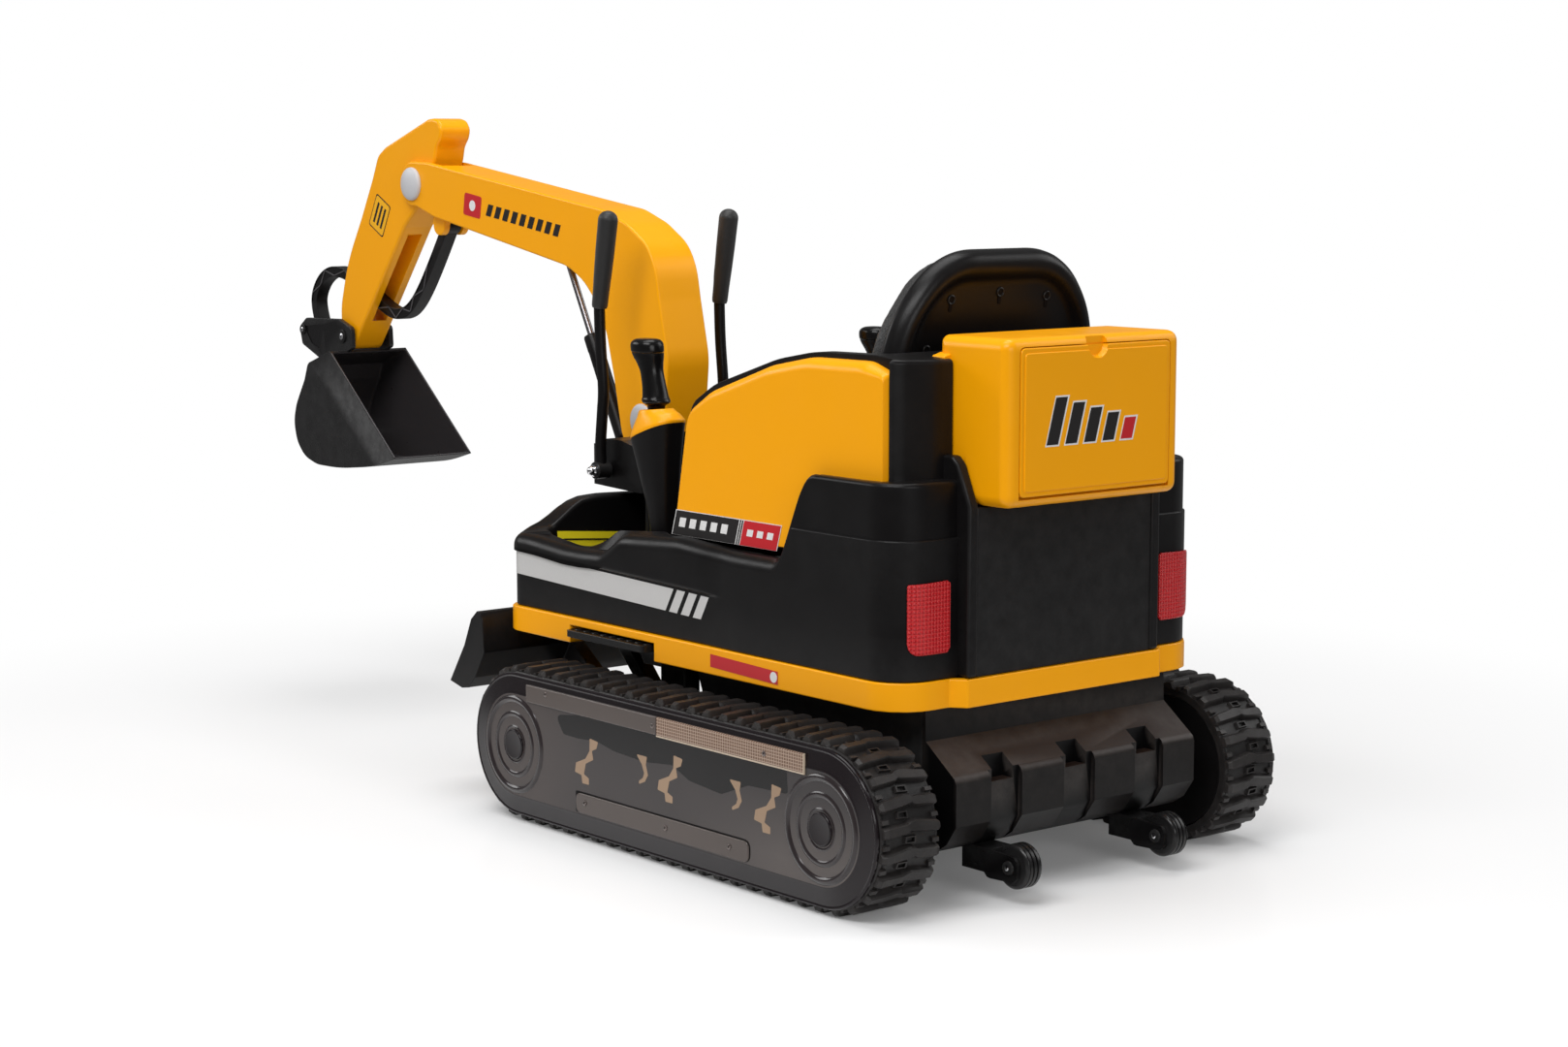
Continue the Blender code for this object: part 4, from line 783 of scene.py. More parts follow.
def track_cover():
    """Smoked cover: sloping dark border, flat printed panel, hub ripples, two bars and their screws."""
    out = COVER_X[1]
    border = [(COVER_RADIUS - 0.0006, COVER_X[0]), (COVER_RADIUS, COVER_X[0] + 0.0012)]
    border += [(COVER_RADIUS - drop, out - back) for drop, back in
               ((0.0, 0.0062), (0.0008, 0.005), (0.0022, 0.0046), (0.004, 0.0052), (0.0048, 0.005))]
    border += [(0.0625, out - 0.0034), (0.0605, out - 0.0027), (0.059, out - 0.0027)]

    def layer(name, rows, material, **how):
        return loft(name, [[(x, y, z) for y, z in stadium(r)] for r, x in rows], material, **how)

    parts = [layer("cover_border", border, DARK_SMOKE, caps=False, angle=24),
             layer("cover_panel", ((0.0592, out - 0.005), (0.0592, out - 0.00285)), SMOKE),
             layer("cover_back", ((border[0][0], COVER_X[0]), (border[0][0], COVER_X[0] + 0.0008)), DARK_SMOKE)]
    parts += print_patches()
    for y in HUBS:
        parts += hub_disc(y)
    start, split, end = HUBS[0] + 0.026, -0.006, HUBS[1] - 0.026
    foot, top, trim = HUB_Z + 0.0535, HUB_Z + 0.0735, 0.0016
    parts.append(long_bar("bar_clear", (start, split), (foot, top), 0.0018, 0.0015, CLEAR_BAR))
    parts.append(long_bar("bar_amber", (split + 0.0004, end), (foot, top), 0.0018, 0.0015, AMBER))
    parts.append(prism("bar_frame", four((split + 0.0004, end), (foot - trim, foot)), "X",
                       out - 0.003, out - 0.001, EDGE_PALE))
    parts.append(prism("bar_end", four((end, end + 0.0014), (foot - trim, top)), "X",
                       out - 0.003, out - 0.0008, EDGE_PALE))
    low, high = HUB_Z - 0.057, HUB_Z - 0.033
    # Painted shadow: a near-black plate behind the lower bar, showing as a dark margin round it.
    groove = [(-0.157, low, 0.002), (0.153, low, 0.01), (0.153, high, 0.01), (-0.157, high, 0.002)]
    parts.append(prism("bar_groove", filleted(groove, 0.01, 8), "X", out - 0.0034, out - 0.0024, GAP_SHADE))
    parts.append(long_bar("bar_low", (-0.156, 0.153 - trim), (low - 0.0004, high - trim), 0.0012, 0.009, CLEAR_BAR))
    for y, z in ((-0.212, 0.158), (-0.012, 0.1535), (0.178, 0.154), (-0.138, 0.046), (0.01, 0.045),
                 (0.12, 0.045)):
        parts.append(screw_head((out - 0.001, y, z), (1, 0, 0), 0.003, DARK_STEEL))
    return merge("track_cover_left_skin", parts)


def make_tracks():
    parts = [belt_skin()]
    for k in range(LUGS):
        parts.append(tread_lug(k))
        parts += tread_pit(k)
    pair(merge("track_belt_left_tread", parts), "track_belt_left")
    pair(track_cover(), "track_cover_left")


CLEAR_BAR = plastic("smoke_bar", (0.08, 0.064, 0.057), 0.16, coat=0.15, spec=0.25, grain=0.02, vary=0.1)
EDGE_PALE = plastic("smoke_edge", (0.5, 0.4, 0.3), 0.2, coat=0.3, grain=0.02, vary=0.12)
# Painted shade: flat near-black for grooves and slots where shade falls.
GAP_SHADE = plastic("gap_shadow", (0.004, 0.003, 0.003), 0.5, grain=0.05, vary=0.1, spec=0.1)
DARK_STEEL = metal("dark_steel", (0.2, 0.17, 0.16), 0.3)
make_tracks()


# ---------------------------------------------------------------- house
TUB = edges("lower_body")
SKIRT = edges("base_skirt")
FRONT_HALF, REAR_HALF, NOSE, TAIL_CORNER = 0.2225, TUB[0][1], 0.03, 0.046
TUB_FRONT, TUB_REAR = TUB[1][0], TUB[1][1] - 0.015
BAND_TOP = TUB[2][1]
LIP_SLOPE, LIP_START = 0.03, -0.377
STEP_HEIGHT = 0.3765
QUARTER = [radians(90 * k / 8) for k in range(9)]


def line(points, t):
    """Height of a broken line at t."""
    for (a, low), (b, high) in zip(points, points[1:]):
        if t <= b:
            return low + (high - low) * max(0.0, (t - a) / (b - a))
    return points[-1][1]


def soft(points, t, blur=0.006):
    return sum(line(points, t + blur * k / 3) for k in range(-3, 4)) / 7


def ease(low, high, t):
    t = min(1.0, max(0.0, (t - low) / (high - low)))
    return t * t * (3 - 2 * t)


def rounded_loop(front, rear):
    """Rounded trapezoid in plan: front and rear are (half width, y, corner radius)."""
    (fx, fy, fr), (rx, ry, rr) = front, rear
    short, long, bend = 28, 132, 14
    loop = []

    def run(a, b, count):
        loop.extend((a[0] + (b[0] - a[0]) * k / count, a[1] + (b[1] - a[1]) * k / count) for k in range(1, count))

    def corner(x, y, radius, start):
        loop.extend(arc((x, y), radius, start, start + 90, bend))

    run((-(fx - fr), fy), (fx - fr, fy), short)
    corner(fx - fr, fy + fr, fr, -90)
    run((fx, fy + fr), (rx, ry - rr), long)
    corner(rx - rr, ry - rr, rr, 0)
    run((rx - rr, ry), (-(rx - rr), ry), short)
    corner(-(rx - rr), ry - rr, rr, 90)
    run((-rx, ry - rr), (-fx, fy + fr), long)
    corner(-(fx - fr), fy + fr, fr, 180)
    return loop


def tub_outline(inset=0.0):
    return rounded_loop((FRONT_HALF - inset, TUB_FRONT + inset, NOSE - inset),
                        (REAR_HALF - inset, TUB_REAR - inset, TAIL_CORNER - inset))


SIDE_RIM = ((-0.3575, 0.318), (-0.285, 0.3125), (-0.25, 0.3125), (-0.212, 0.3145), (-0.175, 0.3385),
            (-0.067, 0.3455), (0.027, 0.34), (0.1, 0.34), (0.112, 0.35), (0.144, 0.42),
            (0.156, BAND_TOP - 0.0005), (0.4, BAND_TOP - 0.0005))
FRONT_RIM = ((0.0, 0.353), (0.098, 0.356), (0.13, 0.354), (0.1515, 0.344), (0.173, 0.33),
             (0.194, 0.3225), (0.208, 0.3185), (0.2225, 0.318))
WELL_RIM = ((-0.36, 0.321), (-0.285, 0.312), (-0.247, 0.313), (-0.209, 0.337), (-0.12, 0.345),
            (0.1, 0.3395), (0.112, 0.35), (0.144, 0.42), (0.156, BAND_TOP - 0.001), (0.4, BAND_TOP - 0.001))
WELL_FRONT = ((0.0, 0.3545), (0.112, 0.356), (0.135, 0.354), (0.155, 0.34), (0.176, 0.325), (0.21, 0.321))


def rim_height(x, y):
    return soft(FRONT_RIM, abs(x), 0.008) if y < TUB_FRONT + NOSE else soft(SIDE_RIM, y)


def lip_height(y):
    return 0.3 - LIP_SLOPE * (max(y, TUB_FRONT + NOSE) - LIP_START)


def overhang(y):
    return 0.003 * (1 - ease(-0.035, 0.012, y))


def wall_inset(y):
    return 0.0034 - 0.0024 * ease(-0.04, 0.06, y)


def wall_x(y):
    """Outer face of the tub's side wall below the lip."""
    share = (y - TUB_FRONT - NOSE) / (TUB_REAR - TAIL_CORNER - TUB_FRONT - NOSE)
    return FRONT_HALF + (REAR_HALF - FRONT_HALF) * min(1, max(0, share)) - wall_inset(y)


def tub():
    """Outer wall with its lip and step, rolled rim, well wall and floor, as loops round the plan."""
    plan = tub_outline()
    centre = [Vector(p) for p in tub_outline(0.02)]
    inward = [(c - Vector(p)).normalized() for c, p in zip(centre, plan)]
    sections = []

    def ring(inset_of, height_of):
        loop = []
        for (x, y), way in zip(plan, inward):
            inset = inset_of(y)
            loop.append((x + way.x * inset, y + way.y * inset, height_of(x, y)))
        sections.append(loop)

    def base(y):
        return wall_inset(y) - overhang(y)

    def roll(y):
        return 0.0155 - 0.0105 * ease(0.1, 0.15, y)

    def step_at(x, y):
        return min(STEP_HEIGHT, rim_height(x, y) - roll(y) - 0.003)

    def step_in(y):
        return base(y) + 0.0022 * ease(0.105, 0.16, y)

    low = SKIRT[2][1] + 0.0003
    ring(lambda y: wall_inset(y) + 0.0015, lambda x, y: low)
    ring(wall_inset, lambda x, y: low + 0.0015)
    ring(wall_inset, lambda x, y: lip_height(y) - 0.003)
    ring(wall_inset, lambda x, y: lip_height(y) - 0.0012)
    ring(lambda y: wall_inset(y) - overhang(y) * 0.75, lambda x, y: lip_height(y) - 0.0003)
    ring(base, lambda x, y: lip_height(y) + 0.0012)
    ring(base, lambda x, y: min(lip_height(y) + 0.004, step_at(x, y) - 0.0024))
    ring(base, lambda x, y: step_at(x, y) - 0.0016)
    ring(lambda y: base(y) + 0.0006 * ease(0.105, 0.16, y), lambda x, y: step_at(x, y) - 0.0004)
    ring(step_in, lambda x, y: step_at(x, y) + 0.0003)
    ring(step_in, lambda x, y: step_at(x, y) + 0.002)
    for turn in QUARTER:
        ring(lambda y: step_in(y) + roll(y) * (1 - cos(turn)),
             lambda x, y: rim_height(x, y) - roll(y) * (1 - sin(turn)))

    def well_height(x, y):
        return soft(WELL_FRONT, abs(x), 0.008) if y < -0.345 else soft(WELL_RIM, y)

    def well(half, front, rear):
        return rounded_loop((half, front, 0.026), (half, rear, 0.03))

    for half, drop in ((0.1975, 0.0003), (0.1955, 0.0012), (0.1944, 0.0034), (0.194, 0.007)):
        loop = [(x + 0.0105 * ease(-0.125, -0.095, y) * (1 if x > 0 else -1), y)
                for x, y in well(half, -0.369 - (half - 0.194), 0.256)]
        sections.append([(x, y, well_height(x, y) - drop) for x, y in loop])
    for half, z in ((0.1915, 0.264), (0.1905, 0.25), (0.188, 0.244), (0.183, 0.2415)):
        sections.append([(x, y, z) for x, y in well(half, -0.366 - (half - 0.1905), 0.253)])
    return loft("tub", sections, BLACK, angle=44)


STRIPE_TOP, STRIPE_FOOT, STRIPE_SLANT = 0.2962, 0.2698, -0.015


def side_strip(start, end, pieces, wrap=0.0):
    """Silver strip on the left wall with slanted ends; wrap is how far it turns round the nose."""
    rows = []
    for k in range(pieces + 1):
        share = k / pieces
        row = []
        for height, lean in ((STRIPE_TOP, 0.0), (STRIPE_FOOT, STRIPE_SLANT)):
            y = start + (end - start) * share + lean * (share if wrap else 1.0)
            row.append((wall_x(y) + 0.0003, y, stripe_height(height, y)))
        rows.append(row)
    if wrap:
        radius = NOSE - wall_inset(TUB_FRONT) + 0.0003
        bend = arc((FRONT_HALF - NOSE, TUB_FRONT + NOSE), radius, -wrap, 0, 10)[:-1]
        rows = [[(x, y, stripe_height(height, start)) for height in (STRIPE_TOP, STRIPE_FOOT)]
                for x, y in bend] + rows
    return ribbon("stripe", rows, SILVER)


def stripe_height(height, y):
    return height - LIP_SLOPE * (y - LIP_START)


def stripes():
    parts = [side_strip(TUB_FRONT + NOSE, -0.0755, 48, wrap=55)]
    for k in range(3):
        start = -0.069 + 0.0215 * k
        parts.append(side_strip(start, start + 0.0145, 4))
    return merge("side_stripe_left", parts)


def rear_panel():
    """Proud panel under the trunk: a flat middle between two rounded ribs with ears beside the trunk."""
    low, top = SKIRT[2][1] + 0.0004, edges("trunk_box")[2][0] - 0.001
    back = TUB[1][1]
    rib = [(back - 0.045, low), (back, low), (back, top + 0.0015), (back - 0.0185, top + 0.044),
           (back - 0.027, top + 0.052), (back - 0.045, top + 0.052)]
    parts = []
    for side in (1, -1):
        x = sorted((side * 0.1276, side * 0.141))
        parts.append(round_edges(prism("rib", rib, "X", x[0], x[1], BLACK), 0.0034, 4))
    middle = prism("middle", four((-0.128, 0.128), (low, top)), "Y", back - 0.03, back - 0.0018, BLACK)
    parts.append(round_edges(middle, 0.0012, 2))
    return merge("rear_panel", parts)


def side_panel():
    """Yellow side panel with a soft shoulder all round its outer face."""
    (x0, x1), (y0, y1), (z0, z1) = edges("side_panel_left")
    shoulder, depth = 0.0135, 0.0125

    def outline(drop):
        side = drop * 0.45
        return filleted([(y0 + side, z0, 0), (y0 + 0.024 + side, 0.484 - side, 0.03),
                         (y0 + 0.062 + side, 0.508 - drop * 0.8, 0.06), (0.069, 0.5418 - drop, 0.12),
                         (0.132, 0.5534 - drop, 0.12), (0.223 - side, z1 - drop, 0.05),
                         (y1 - drop * 0.1, 0.543 - side, 0.006), (y1 - drop * 0.1, z0, 0)], 0.0, 14)

    sections = [[(x0, y, z) for y, z in outline(0.0)]]
    for turn in QUARTER:
        x = x1 - shoulder * (1 - sin(turn))
        sections.append([(x, y, z) for y, z in outline(depth * (1 - cos(turn)))])
    return loft("side_panel_left_skin", sections, YELLOW, angle=50)


def panel_label():
    """Two plain colour fields along the foot of the side panel: dark with pale bars, then red."""
    x = edges("side_panel_left")[0][1] + 0.0002
    foot, top, lean = 0.3455, 0.3738, 0.0086
    parts = []

    def field(start, end, material, lift, low=foot + 0.0002, high=top - 0.0008):
        tilt = lean * (high - low) / (top - foot)
        shift = lean * (low - foot) / (top - foot)
        outline = [(start + shift, low), (end + shift, low), (end + shift + tilt, high), (start + shift + tilt, high)]
        parts.append(prism("label", outline, "X", x, x + 0.0003 + lift, material))

    def row(count, start, width, pitch, *rest):
        for k in range(count):
            field(start + pitch * k, start + width + pitch * k, *rest)

    start = edges("side_panel_left")[1][0] - 0.0005
    field(start, 0.0875, PALE_FOIL, 0.0, foot, top)
    field(start + 0.0012, 0.016, BLACK_FOIL, 0.0001)
    field(0.0245, 0.0865, RED_FOIL, 0.0001)
    row(2, 0.0174, 0.0024, 0.0036, BLACK_FOIL, 0.0001)
    row(5, start + 0.01, 0.011, 0.0185, PALE_FOIL, 0.0002, foot + 0.0095, foot + 0.02)
    row(3, 0.033, 0.01, 0.017, PALE_FOIL, 0.0002, foot + 0.011, foot + 0.0185)
    return merge("panel_label_left", parts)


def trunk():
    """Rounded box with a framed recess for the door and a finger scoop above it."""
    (x0, x1), (y0, y1), (z0, z1) = edges("trunk_box")
    door = edges("trunk_door")
    soft_edge = 0.0125

    def side(inset):
        corner = soft_edge - inset + 0.0004
        return filleted([(y0 + inset, z1 - inset, corner * 0.6), (y0 + inset, 0.4365 + inset, 0.001),
                         (0.2775 + inset, 0.4365 + inset, 0.001), (0.2775 + inset, 0.456 + inset * 0.6, 0.001),
                         (0.297 + inset * 0.5, z0 + inset, 0.003), (y1 - inset, z0 + inset, corner),
                         (y1 - inset, z1 - inset, corner)], 0.0, 8)

    sections = []
    for end, way in ((x0, 1), (x1, -1)):
        rows = []
        for turn in QUARTER:
            x = end + way * soft_edge * (1 - sin(turn))
            rows.append([(x, y, z) for y, z in side(soft_edge * (1 - cos(turn)))])
        sections += rows[::-1] if way > 0 else rows
    box = loft("trunk_shell", sections, YELLOW, angle=40)
    half, gap = door[0][1], 0.0012
    recess = filleted(four((-half - gap, half + gap), (door[2][0] - gap, door[2][1] + gap)), 0.007, 6)
    scoop = turned("scoop", [(0, 0), (0.0145, 0), (0.016, 0.008), (0, 0.008)],
                   (0, y1 - 0.0055, door[2][1] + 0.0015), (0, 1, 0), YELLOW, 40)
    hollow = [(y0 + 0.004, z1 - 0.006), (y0 + 0.004, 0.4445), (0.283, 0.4445), (0.303, 0.429),
              (0.353, 0.429), (0.353, z1 - 0.015)]
    knuckle = rod("knuckle", 0.0074, (-half - 0.001, half + 0.001), PIVOT["trunk_door_hinge"][1:], YELLOW)
    carve(box, prism("recess", recess, "Y", y1 - 0.006, y1 + 0.02, YELLOW),
          prism("hollow", hollow, "X", -half + 0.006, half - 0.006, YELLOW), scoop, knuckle)
    flanges = []
    for side_sign in (1, -1):
        outline = [(x1 - 0.004, 0.5535), (x1 + 0.0085, 0.5535), (x1 + 0.0085, 0.559), (x1 - 0.004, 0.5625)]
        flange = prism("flange", [(x * side_sign, z) for x, z in outline], "Y", y0 + 0.001, y0 + 0.02, YELLOW)
        flanges.append(round_edges(flange, 0.0012, 2))
    return merge("trunk_shell_all", [box] + flanges)


def trunk_door():
    """Door panel with a raised border line, rounded corners and a half-round notch for a finger."""
    (x0, x1), (y0, y1), (z0, z1) = edges("trunk_door")

    def plate(name, trim, low, high, corner):
        outline = filleted(four((x0 + trim, x1 - trim), (z0 + trim, z1 - trim)), corner, 8)
        return prism(name, outline, "Y", low, high, YELLOW)

    door = round_edges(plate("trunk_door_skin", 0.0, y0, y1 - 0.0012, 0.0065), 0.0012)
    weld(door, round_edges(plate("face", 0.005, y1 - 0.003, y1, 0.005), 0.0011))
    notch = turned("notch", [(0, 0), (0.0125, 0), (0.015, 0.006), (0.015, 0.02), (0, 0.02)],
                   (0, y1 - 0.006, z1 + 0.001), (0, 1, 0), YELLOW, 40)
    bore = rod("bore", 0.0019, (x0 - 0.01, x1 + 0.01), PIVOT["trunk_door_hinge"][1:], YELLOW, 16)
    return carve(door, notch, bore)


def door_mark():
    """Plain decoration in place of lettering: slanted bars that grow shorter."""
    y1 = edges("trunk_door")[1][1]
    parts = []
    for k in range(5):
        start, low, tall = 0.074 - 0.027 * k, 0.4705, 0.048 - 0.0065 * k
        for grow, lift, material in ((0.0018, 0.0002, PALE_FOIL), (0.0, 0.0004, BLACK_FOIL if k < 4 else RED_FOIL)):
            foot, head = low - grow, low + tall + grow
            lean = (head - foot) * 0.28
            outline = [(start + grow, foot), (start - 0.0165 - grow, foot), (start - 0.0165 - grow - lean, head),
                       (start + grow - lean, head)]
            parts.append(prism("mark", outline, "Y", y1, y1 + lift, material))
    return merge("trunk_door_mark", parts)


def skirt_strip():
    """Plain warning-coloured strip on the side of the skirt, with a pale dot near its end."""
    widest = SKIRT[0][1]
    start, top, tall, fall = -0.003, 0.225, 0.0142, 0.03

    def skin(y):
        return widest - 0.00477 * (0.253 - y) + 0.0008

    rows = []
    for k in range(25):
        y = start + 0.116 * k / 24
        z = top - fall * (y - start)
        rows.append([(skin(y), y, z), (skin(y), y, z - tall)])
    y = 0.106
    dot = turned("dot", [(0, 0), (0.0058, 0), (0.0058, 0.0002), (0, 0.0002)],
                 (skin(y) + 0.0001, y, top - fall * (y - start) - tall / 2), (1, 0, 0), PALE_FOIL, 32)
    return merge("skirt_strip_left", [ribbon("strip", rows, RED_FOIL), dot])


def make_house():
    show(tub(), "lower_body")
    extra(rear_panel(), "house")
    extra_pair(stripes())
    pair(side_panel(), "side_panel_left")
    extra_pair(panel_label())
    extra_pair(skirt_strip())
    show(trunk(), "trunk_box")
    show(trunk_door(), "trunk_door")
    extra(door_mark(), "trunk_door")


make_house()


# ---------------------------------------------------------------- digging gear
BOOM_TIP, BOOM_BASE = PIVOT["arm_swing"][1:], PIVOT["boom_lift"][1:]
BUCKET_PIVOT, LINK_HIGH = PIVOT["bucket_curl"][1:], PIVOT["link_swing"][1:]
LINK_LOW = (sum(edges("link_pin")[1]) / 2, sum(edges("link_pin")[2]) / 2)
STRUT_FOOT = PIVOT["strut_tilt"][1:]
LEVER_FOOT = PIVOT["lever_left_tilt"]
STICK = PIVOT["joystick_left_tilt"]


def boom():
    """Goose neck with soft edges, fork at the tip, slot at the base and pocket for the strut."""
    half = edges("boom")[0][1]
    outline = arc(BOOM_TIP, 0.03, 96, 282, 24)
    outline += [(-0.845, 0.6795), (-0.54, 0.6235), (-0.5044, 0.6061), (-0.48, 0.582), (-0.458, 0.548),
                (-0.442, 0.49)]
    outline += arc(BOOM_BASE, 0.046, 200, 345, 20)
    outline += [(-0.331, 0.5179), (-0.3475, 0.5896), (-0.3545, 0.6258), (-0.3714, 0.6545), (-0.413, 0.679),
                (-0.4581, 0.6949), (-0.5256, 0.7043), (-0.86, 0.7515)]
    body = prism("boom_skin", filleted(outline, 0.09, 5), "X", -half, half, YELLOW)
    round_edges(body, 0.0065, 6)
    lug = arc(LINK_HIGH, 0.0135, 180, 360, 16)
    lug += [(LINK_HIGH[0] + 0.022, 0.689), (LINK_HIGH[0] - 0.02, 0.689)]
    weld(body, round_edges(prism("lug", lug, "X", -0.02, 0.02, YELLOW), 0.0015, 3))
    fork = edges("arm")[0][1] + 0.0006
    slot = [(-1.0, 0.6), (-0.885, 0.6), (-0.861, 0.685), (-0.838, 0.7), (-0.822, 0.85), (-1.0, 0.85)]
    gap = [(-0.9, 0.6), (-0.8, 0.6), (-0.82, 0.688), (-0.9, 0.7)]
    tongue = arc(BOOM_BASE, 0.036, 0, 180, 20) + [(-0.45, 0.4), (-0.45, 0.37), (-0.32, 0.37), (-0.32, 0.4)]
    pocket = [(-0.64, 0.6), (-0.525, 0.6), (-0.545, 0.655), (-0.615, 0.668)]
    carve(body, *[prism("cut", outline, "X", -half_gap, half_gap, YELLOW) for outline, half_gap in
                  ((slot, fork), (gap, 0.0108), (tongue, 0.0121), (pocket, 0.0125))])
    bolts = [rod("link_bolt", 0.0045, (x, x + 0.0035), LINK_HIGH, STEEL) for x in (0.016, -0.0195)]
    return merge("boom_whole", [body] + bolts)


def arm():
    """Stick with a hooked top, soft edges, and a slot right through for the link."""
    half = edges("arm")[0][1]
    outline = arc(BUCKET_PIVOT, 0.0185, 180, 320, 18)
    outline += [(-0.933, 0.664, 0.02), (-0.866, 0.718, 0.02), (-0.853, 0.756, 0.04), (-0.849, 0.7717, 0.02),
                (-0.839, 0.783, 0.02), (-0.835, 0.796, 0.02), (-0.844, 0.807, 0.01), (-0.856, 0.81, 0.02),
                (-0.87, 0.809, 0.02), (-0.9788, 0.7718, 0.03), (-0.9972, 0.7607, 0.02), (-1.012, 0.73, 0.06),
                (-1.0434, 0.675, 0.2), (-1.083, 0.613, 0.3), (-1.104, 0.545, 0.1)]
    body = prism("arm_skin", filleted(outline, 0.02, 6), "X", -half, half, YELLOW)
    round_edges(body, 0.0052, 6)
    slot = [(-0.93, 0.655), (-0.93, 0.56), (-1.045, 0.53), (-1.14, 0.535), (-1.14, 0.62),
            (-1.06, 0.628), (-0.98, 0.65)]
    return carve(body, prism("slot", slot, "X", -0.011, 0.011, YELLOW))


def bucket():
    """Thin round-backed shell with thin light grey beads along its rim as painted highlights, an inside painted
    lighter grey, and two bracket plates.
    """
    half = edges("bucket")[0][1]
    top, lip = (-1.07, 0.49, 0.002), (-0.9045, 0.352, 0.001)
    back = [(-1.13, 0.47, 0.012), (-1.14, 0.446, 0.02), (-1.164, 0.41, 0.06), (-1.172, 0.385, 0.05),
            (-1.164, 0.357, 0.04), (-1.144, 0.337, 0.05), (-1.11, 0.328, 0.08), (-1.05, 0.3275, 0.5),
            (-0.96, 0.337, 0.5)]
    shell = prism("bucket_skin", filleted([top] + back + [lip], 0.01, 8), "X", -half, half, DIG_BLACK)
    round_edges(shell, 0.0016, 3)
    inner = [(-1.0685, 0.4855), (-1.1265, 0.4655), (-1.136, 0.443, 0.02), (-1.16, 0.408, 0.06),
             (-1.1675, 0.3845, 0.05), (-1.1603, 0.3598, 0.04), (-1.1418, 0.341, 0.05), (-1.109, 0.3325, 0.08),
             (-1.05, 0.332, 0.5), (-0.96, 0.3412, 0.5), (-0.9, 0.356, 0.0), (-0.87, 0.38, 0.0),
             (-1.04, 0.53, 0.0)]
    wall = 0.0034
    inside = prism("inside", filleted(inner, 0.004, 8), "X", -half + wall, half - wall, DIG_BLACK)
    carve(shell, round_edges(inside, 0.004, 4))
    # Painted light: faces turned inwards get the lighter inside colour.
    shell.data.materials.append(BUCKET_INSIDE_LIT)
    middle = Vector((0, -1.04, 0.415))
    for face in shell.data.polygons:
        if (middle - face.center).dot(face.normal) > 0:
            face.material_index = len(shell.data.materials) - 1
    plate = filleted([(-1.199, 0.518, 0.008), (-1.18, 0.531, 0.008), (-1.09, 0.533, 0.008),
                      (-1.058, 0.522, 0.008), (-1.056, 0.493, 0.006), (-1.072, 0.487, 0.0),
                      (-1.127, 0.468, 0.0), (-1.192, 0.493, 0.006)], 0.008, 6)
    rib = filleted([(-1.186, 0.519), (-1.13, 0.524), (-1.144, 0.487), (-1.166, 0.496)], 0.004, 4)
    parts = [shell]
    face = 0.0345
    for side in (1, -1):
        low, high = sorted((side * (face - 0.007), side * face))
        cheek = round_edges(prism("cheek", plate, "X", low, high, DIG_BLACK), 0.0012)
        low, high = sorted((side * face + side * 0.01, side * face - side * 0.001))
        parts.append(carve(cheek, prism("recess", rib, "X", low, high, DIG_BLACK)))
    # The beads are painted highlights: thin light grey cords along the inner corner, the rim and the lip.
    corner = [(y, z + 0.0008) for y, z in filleted(inner[3:10], 0.004, 8)[4:-12]]
    for side in (1, -1):
        bead = [(side * (half - 0.0036), y, z) for y, z in corner]
        parts.append(sweep("corner_bead", bead, [0.001] * len(bead), RIB_HIGHLIGHT, 8))
        rim = [(side * (half - 0.0017), y, z) for y, z in ((-1.0672, 0.4868), (-0.9062, 0.3538))]
        parts.append(sweep("rim_bead", rim, [0.0009, 0.0009], RIB_HIGHLIGHT, 8))
    parts.append(rod("lip_bead", 0.0006, (-half + 0.003, half - 0.003), (-0.9061, 0.3533), RIB_HIGHLIGHT, 8))
    return merge("bucket_whole", parts)


def link_outline(half):
    """Both sides of the link's S-shaped centre line, as one outline."""
    path = [LINK_HIGH, (-0.883, 0.623), (-0.913, 0.584), (-0.938, 0.559), (-0.962, 0.5465), (-0.99, 0.545),
            (-1.022, 0.5555), (-1.07, 0.577), (-1.115, 0.594), (-1.155, 0.596), (-1.185, 0.581),
            (-1.2, 0.553), LINK_LOW]
    fine = [Vector(p) for p in smooth_line(path, 6)]
    left, right = [], []
    for i, point in enumerate(fine):
        way = (fine[min(i + 1, len(fine) - 1)] - fine[max(i - 1, 0)]).normalized()
        left.append((point.x - way.y * half, point.y + way.x * half))
        right.append((point.x + way.y * half, point.y - way.x * half))
    return left, right


def bucket_link():
    """Curved black link: recessed sides crossed by a zigzag of thin ribs, light grey as a painted highlight."""
    half = edges("bucket_link")[0][1]
    left, right = link_outline(0.0074)
    body = prism("link_skin", left + right[::-1], "X", -half, half, BLACK)
    round_edges(body, 0.0012, 2)
    inner_left, inner_right = link_outline(0.0058)
    cut = slice(6, len(inner_left) - 6)
    field = inner_left[cut] + inner_right[cut][::-1]
    carve(body, prism("field", field, "X", half - 0.0012, half + 0.01, BLACK),
          prism("field", field, "X", -half - 0.01, -half + 0.0012, BLACK))
    parts = [body]
    step = 4
    # The ribs' light grey is a painted highlight on their edges.
    for k, i in enumerate(range(8, len(inner_left) - 10, step)):
        a, b = (inner_left, inner_right) if k % 2 else (inner_right, inner_left)
        start, end = Vector(a[i]), Vector(b[i + step])
        way = (end - start).normalized() * 0.0007
        across = Vector((-way.y, way.x))
        rib = [tuple(p) for p in (start - across, end - across, end + across, start + across)]
        for x in ((half - 0.0013, half - 0.0002), (-half + 0.0002, -half + 0.0013)):
            parts.append(prism("rib", rib, "X", *x, RIB_HIGHLIGHT))
    for spot in (LINK_HIGH, LINK_LOW):
        parts.append(round_edges(rod("eye", 0.0115, (-0.0092, 0.0092), spot, BLACK), 0.001, 2))
    return merge("bucket_link_whole", parts)


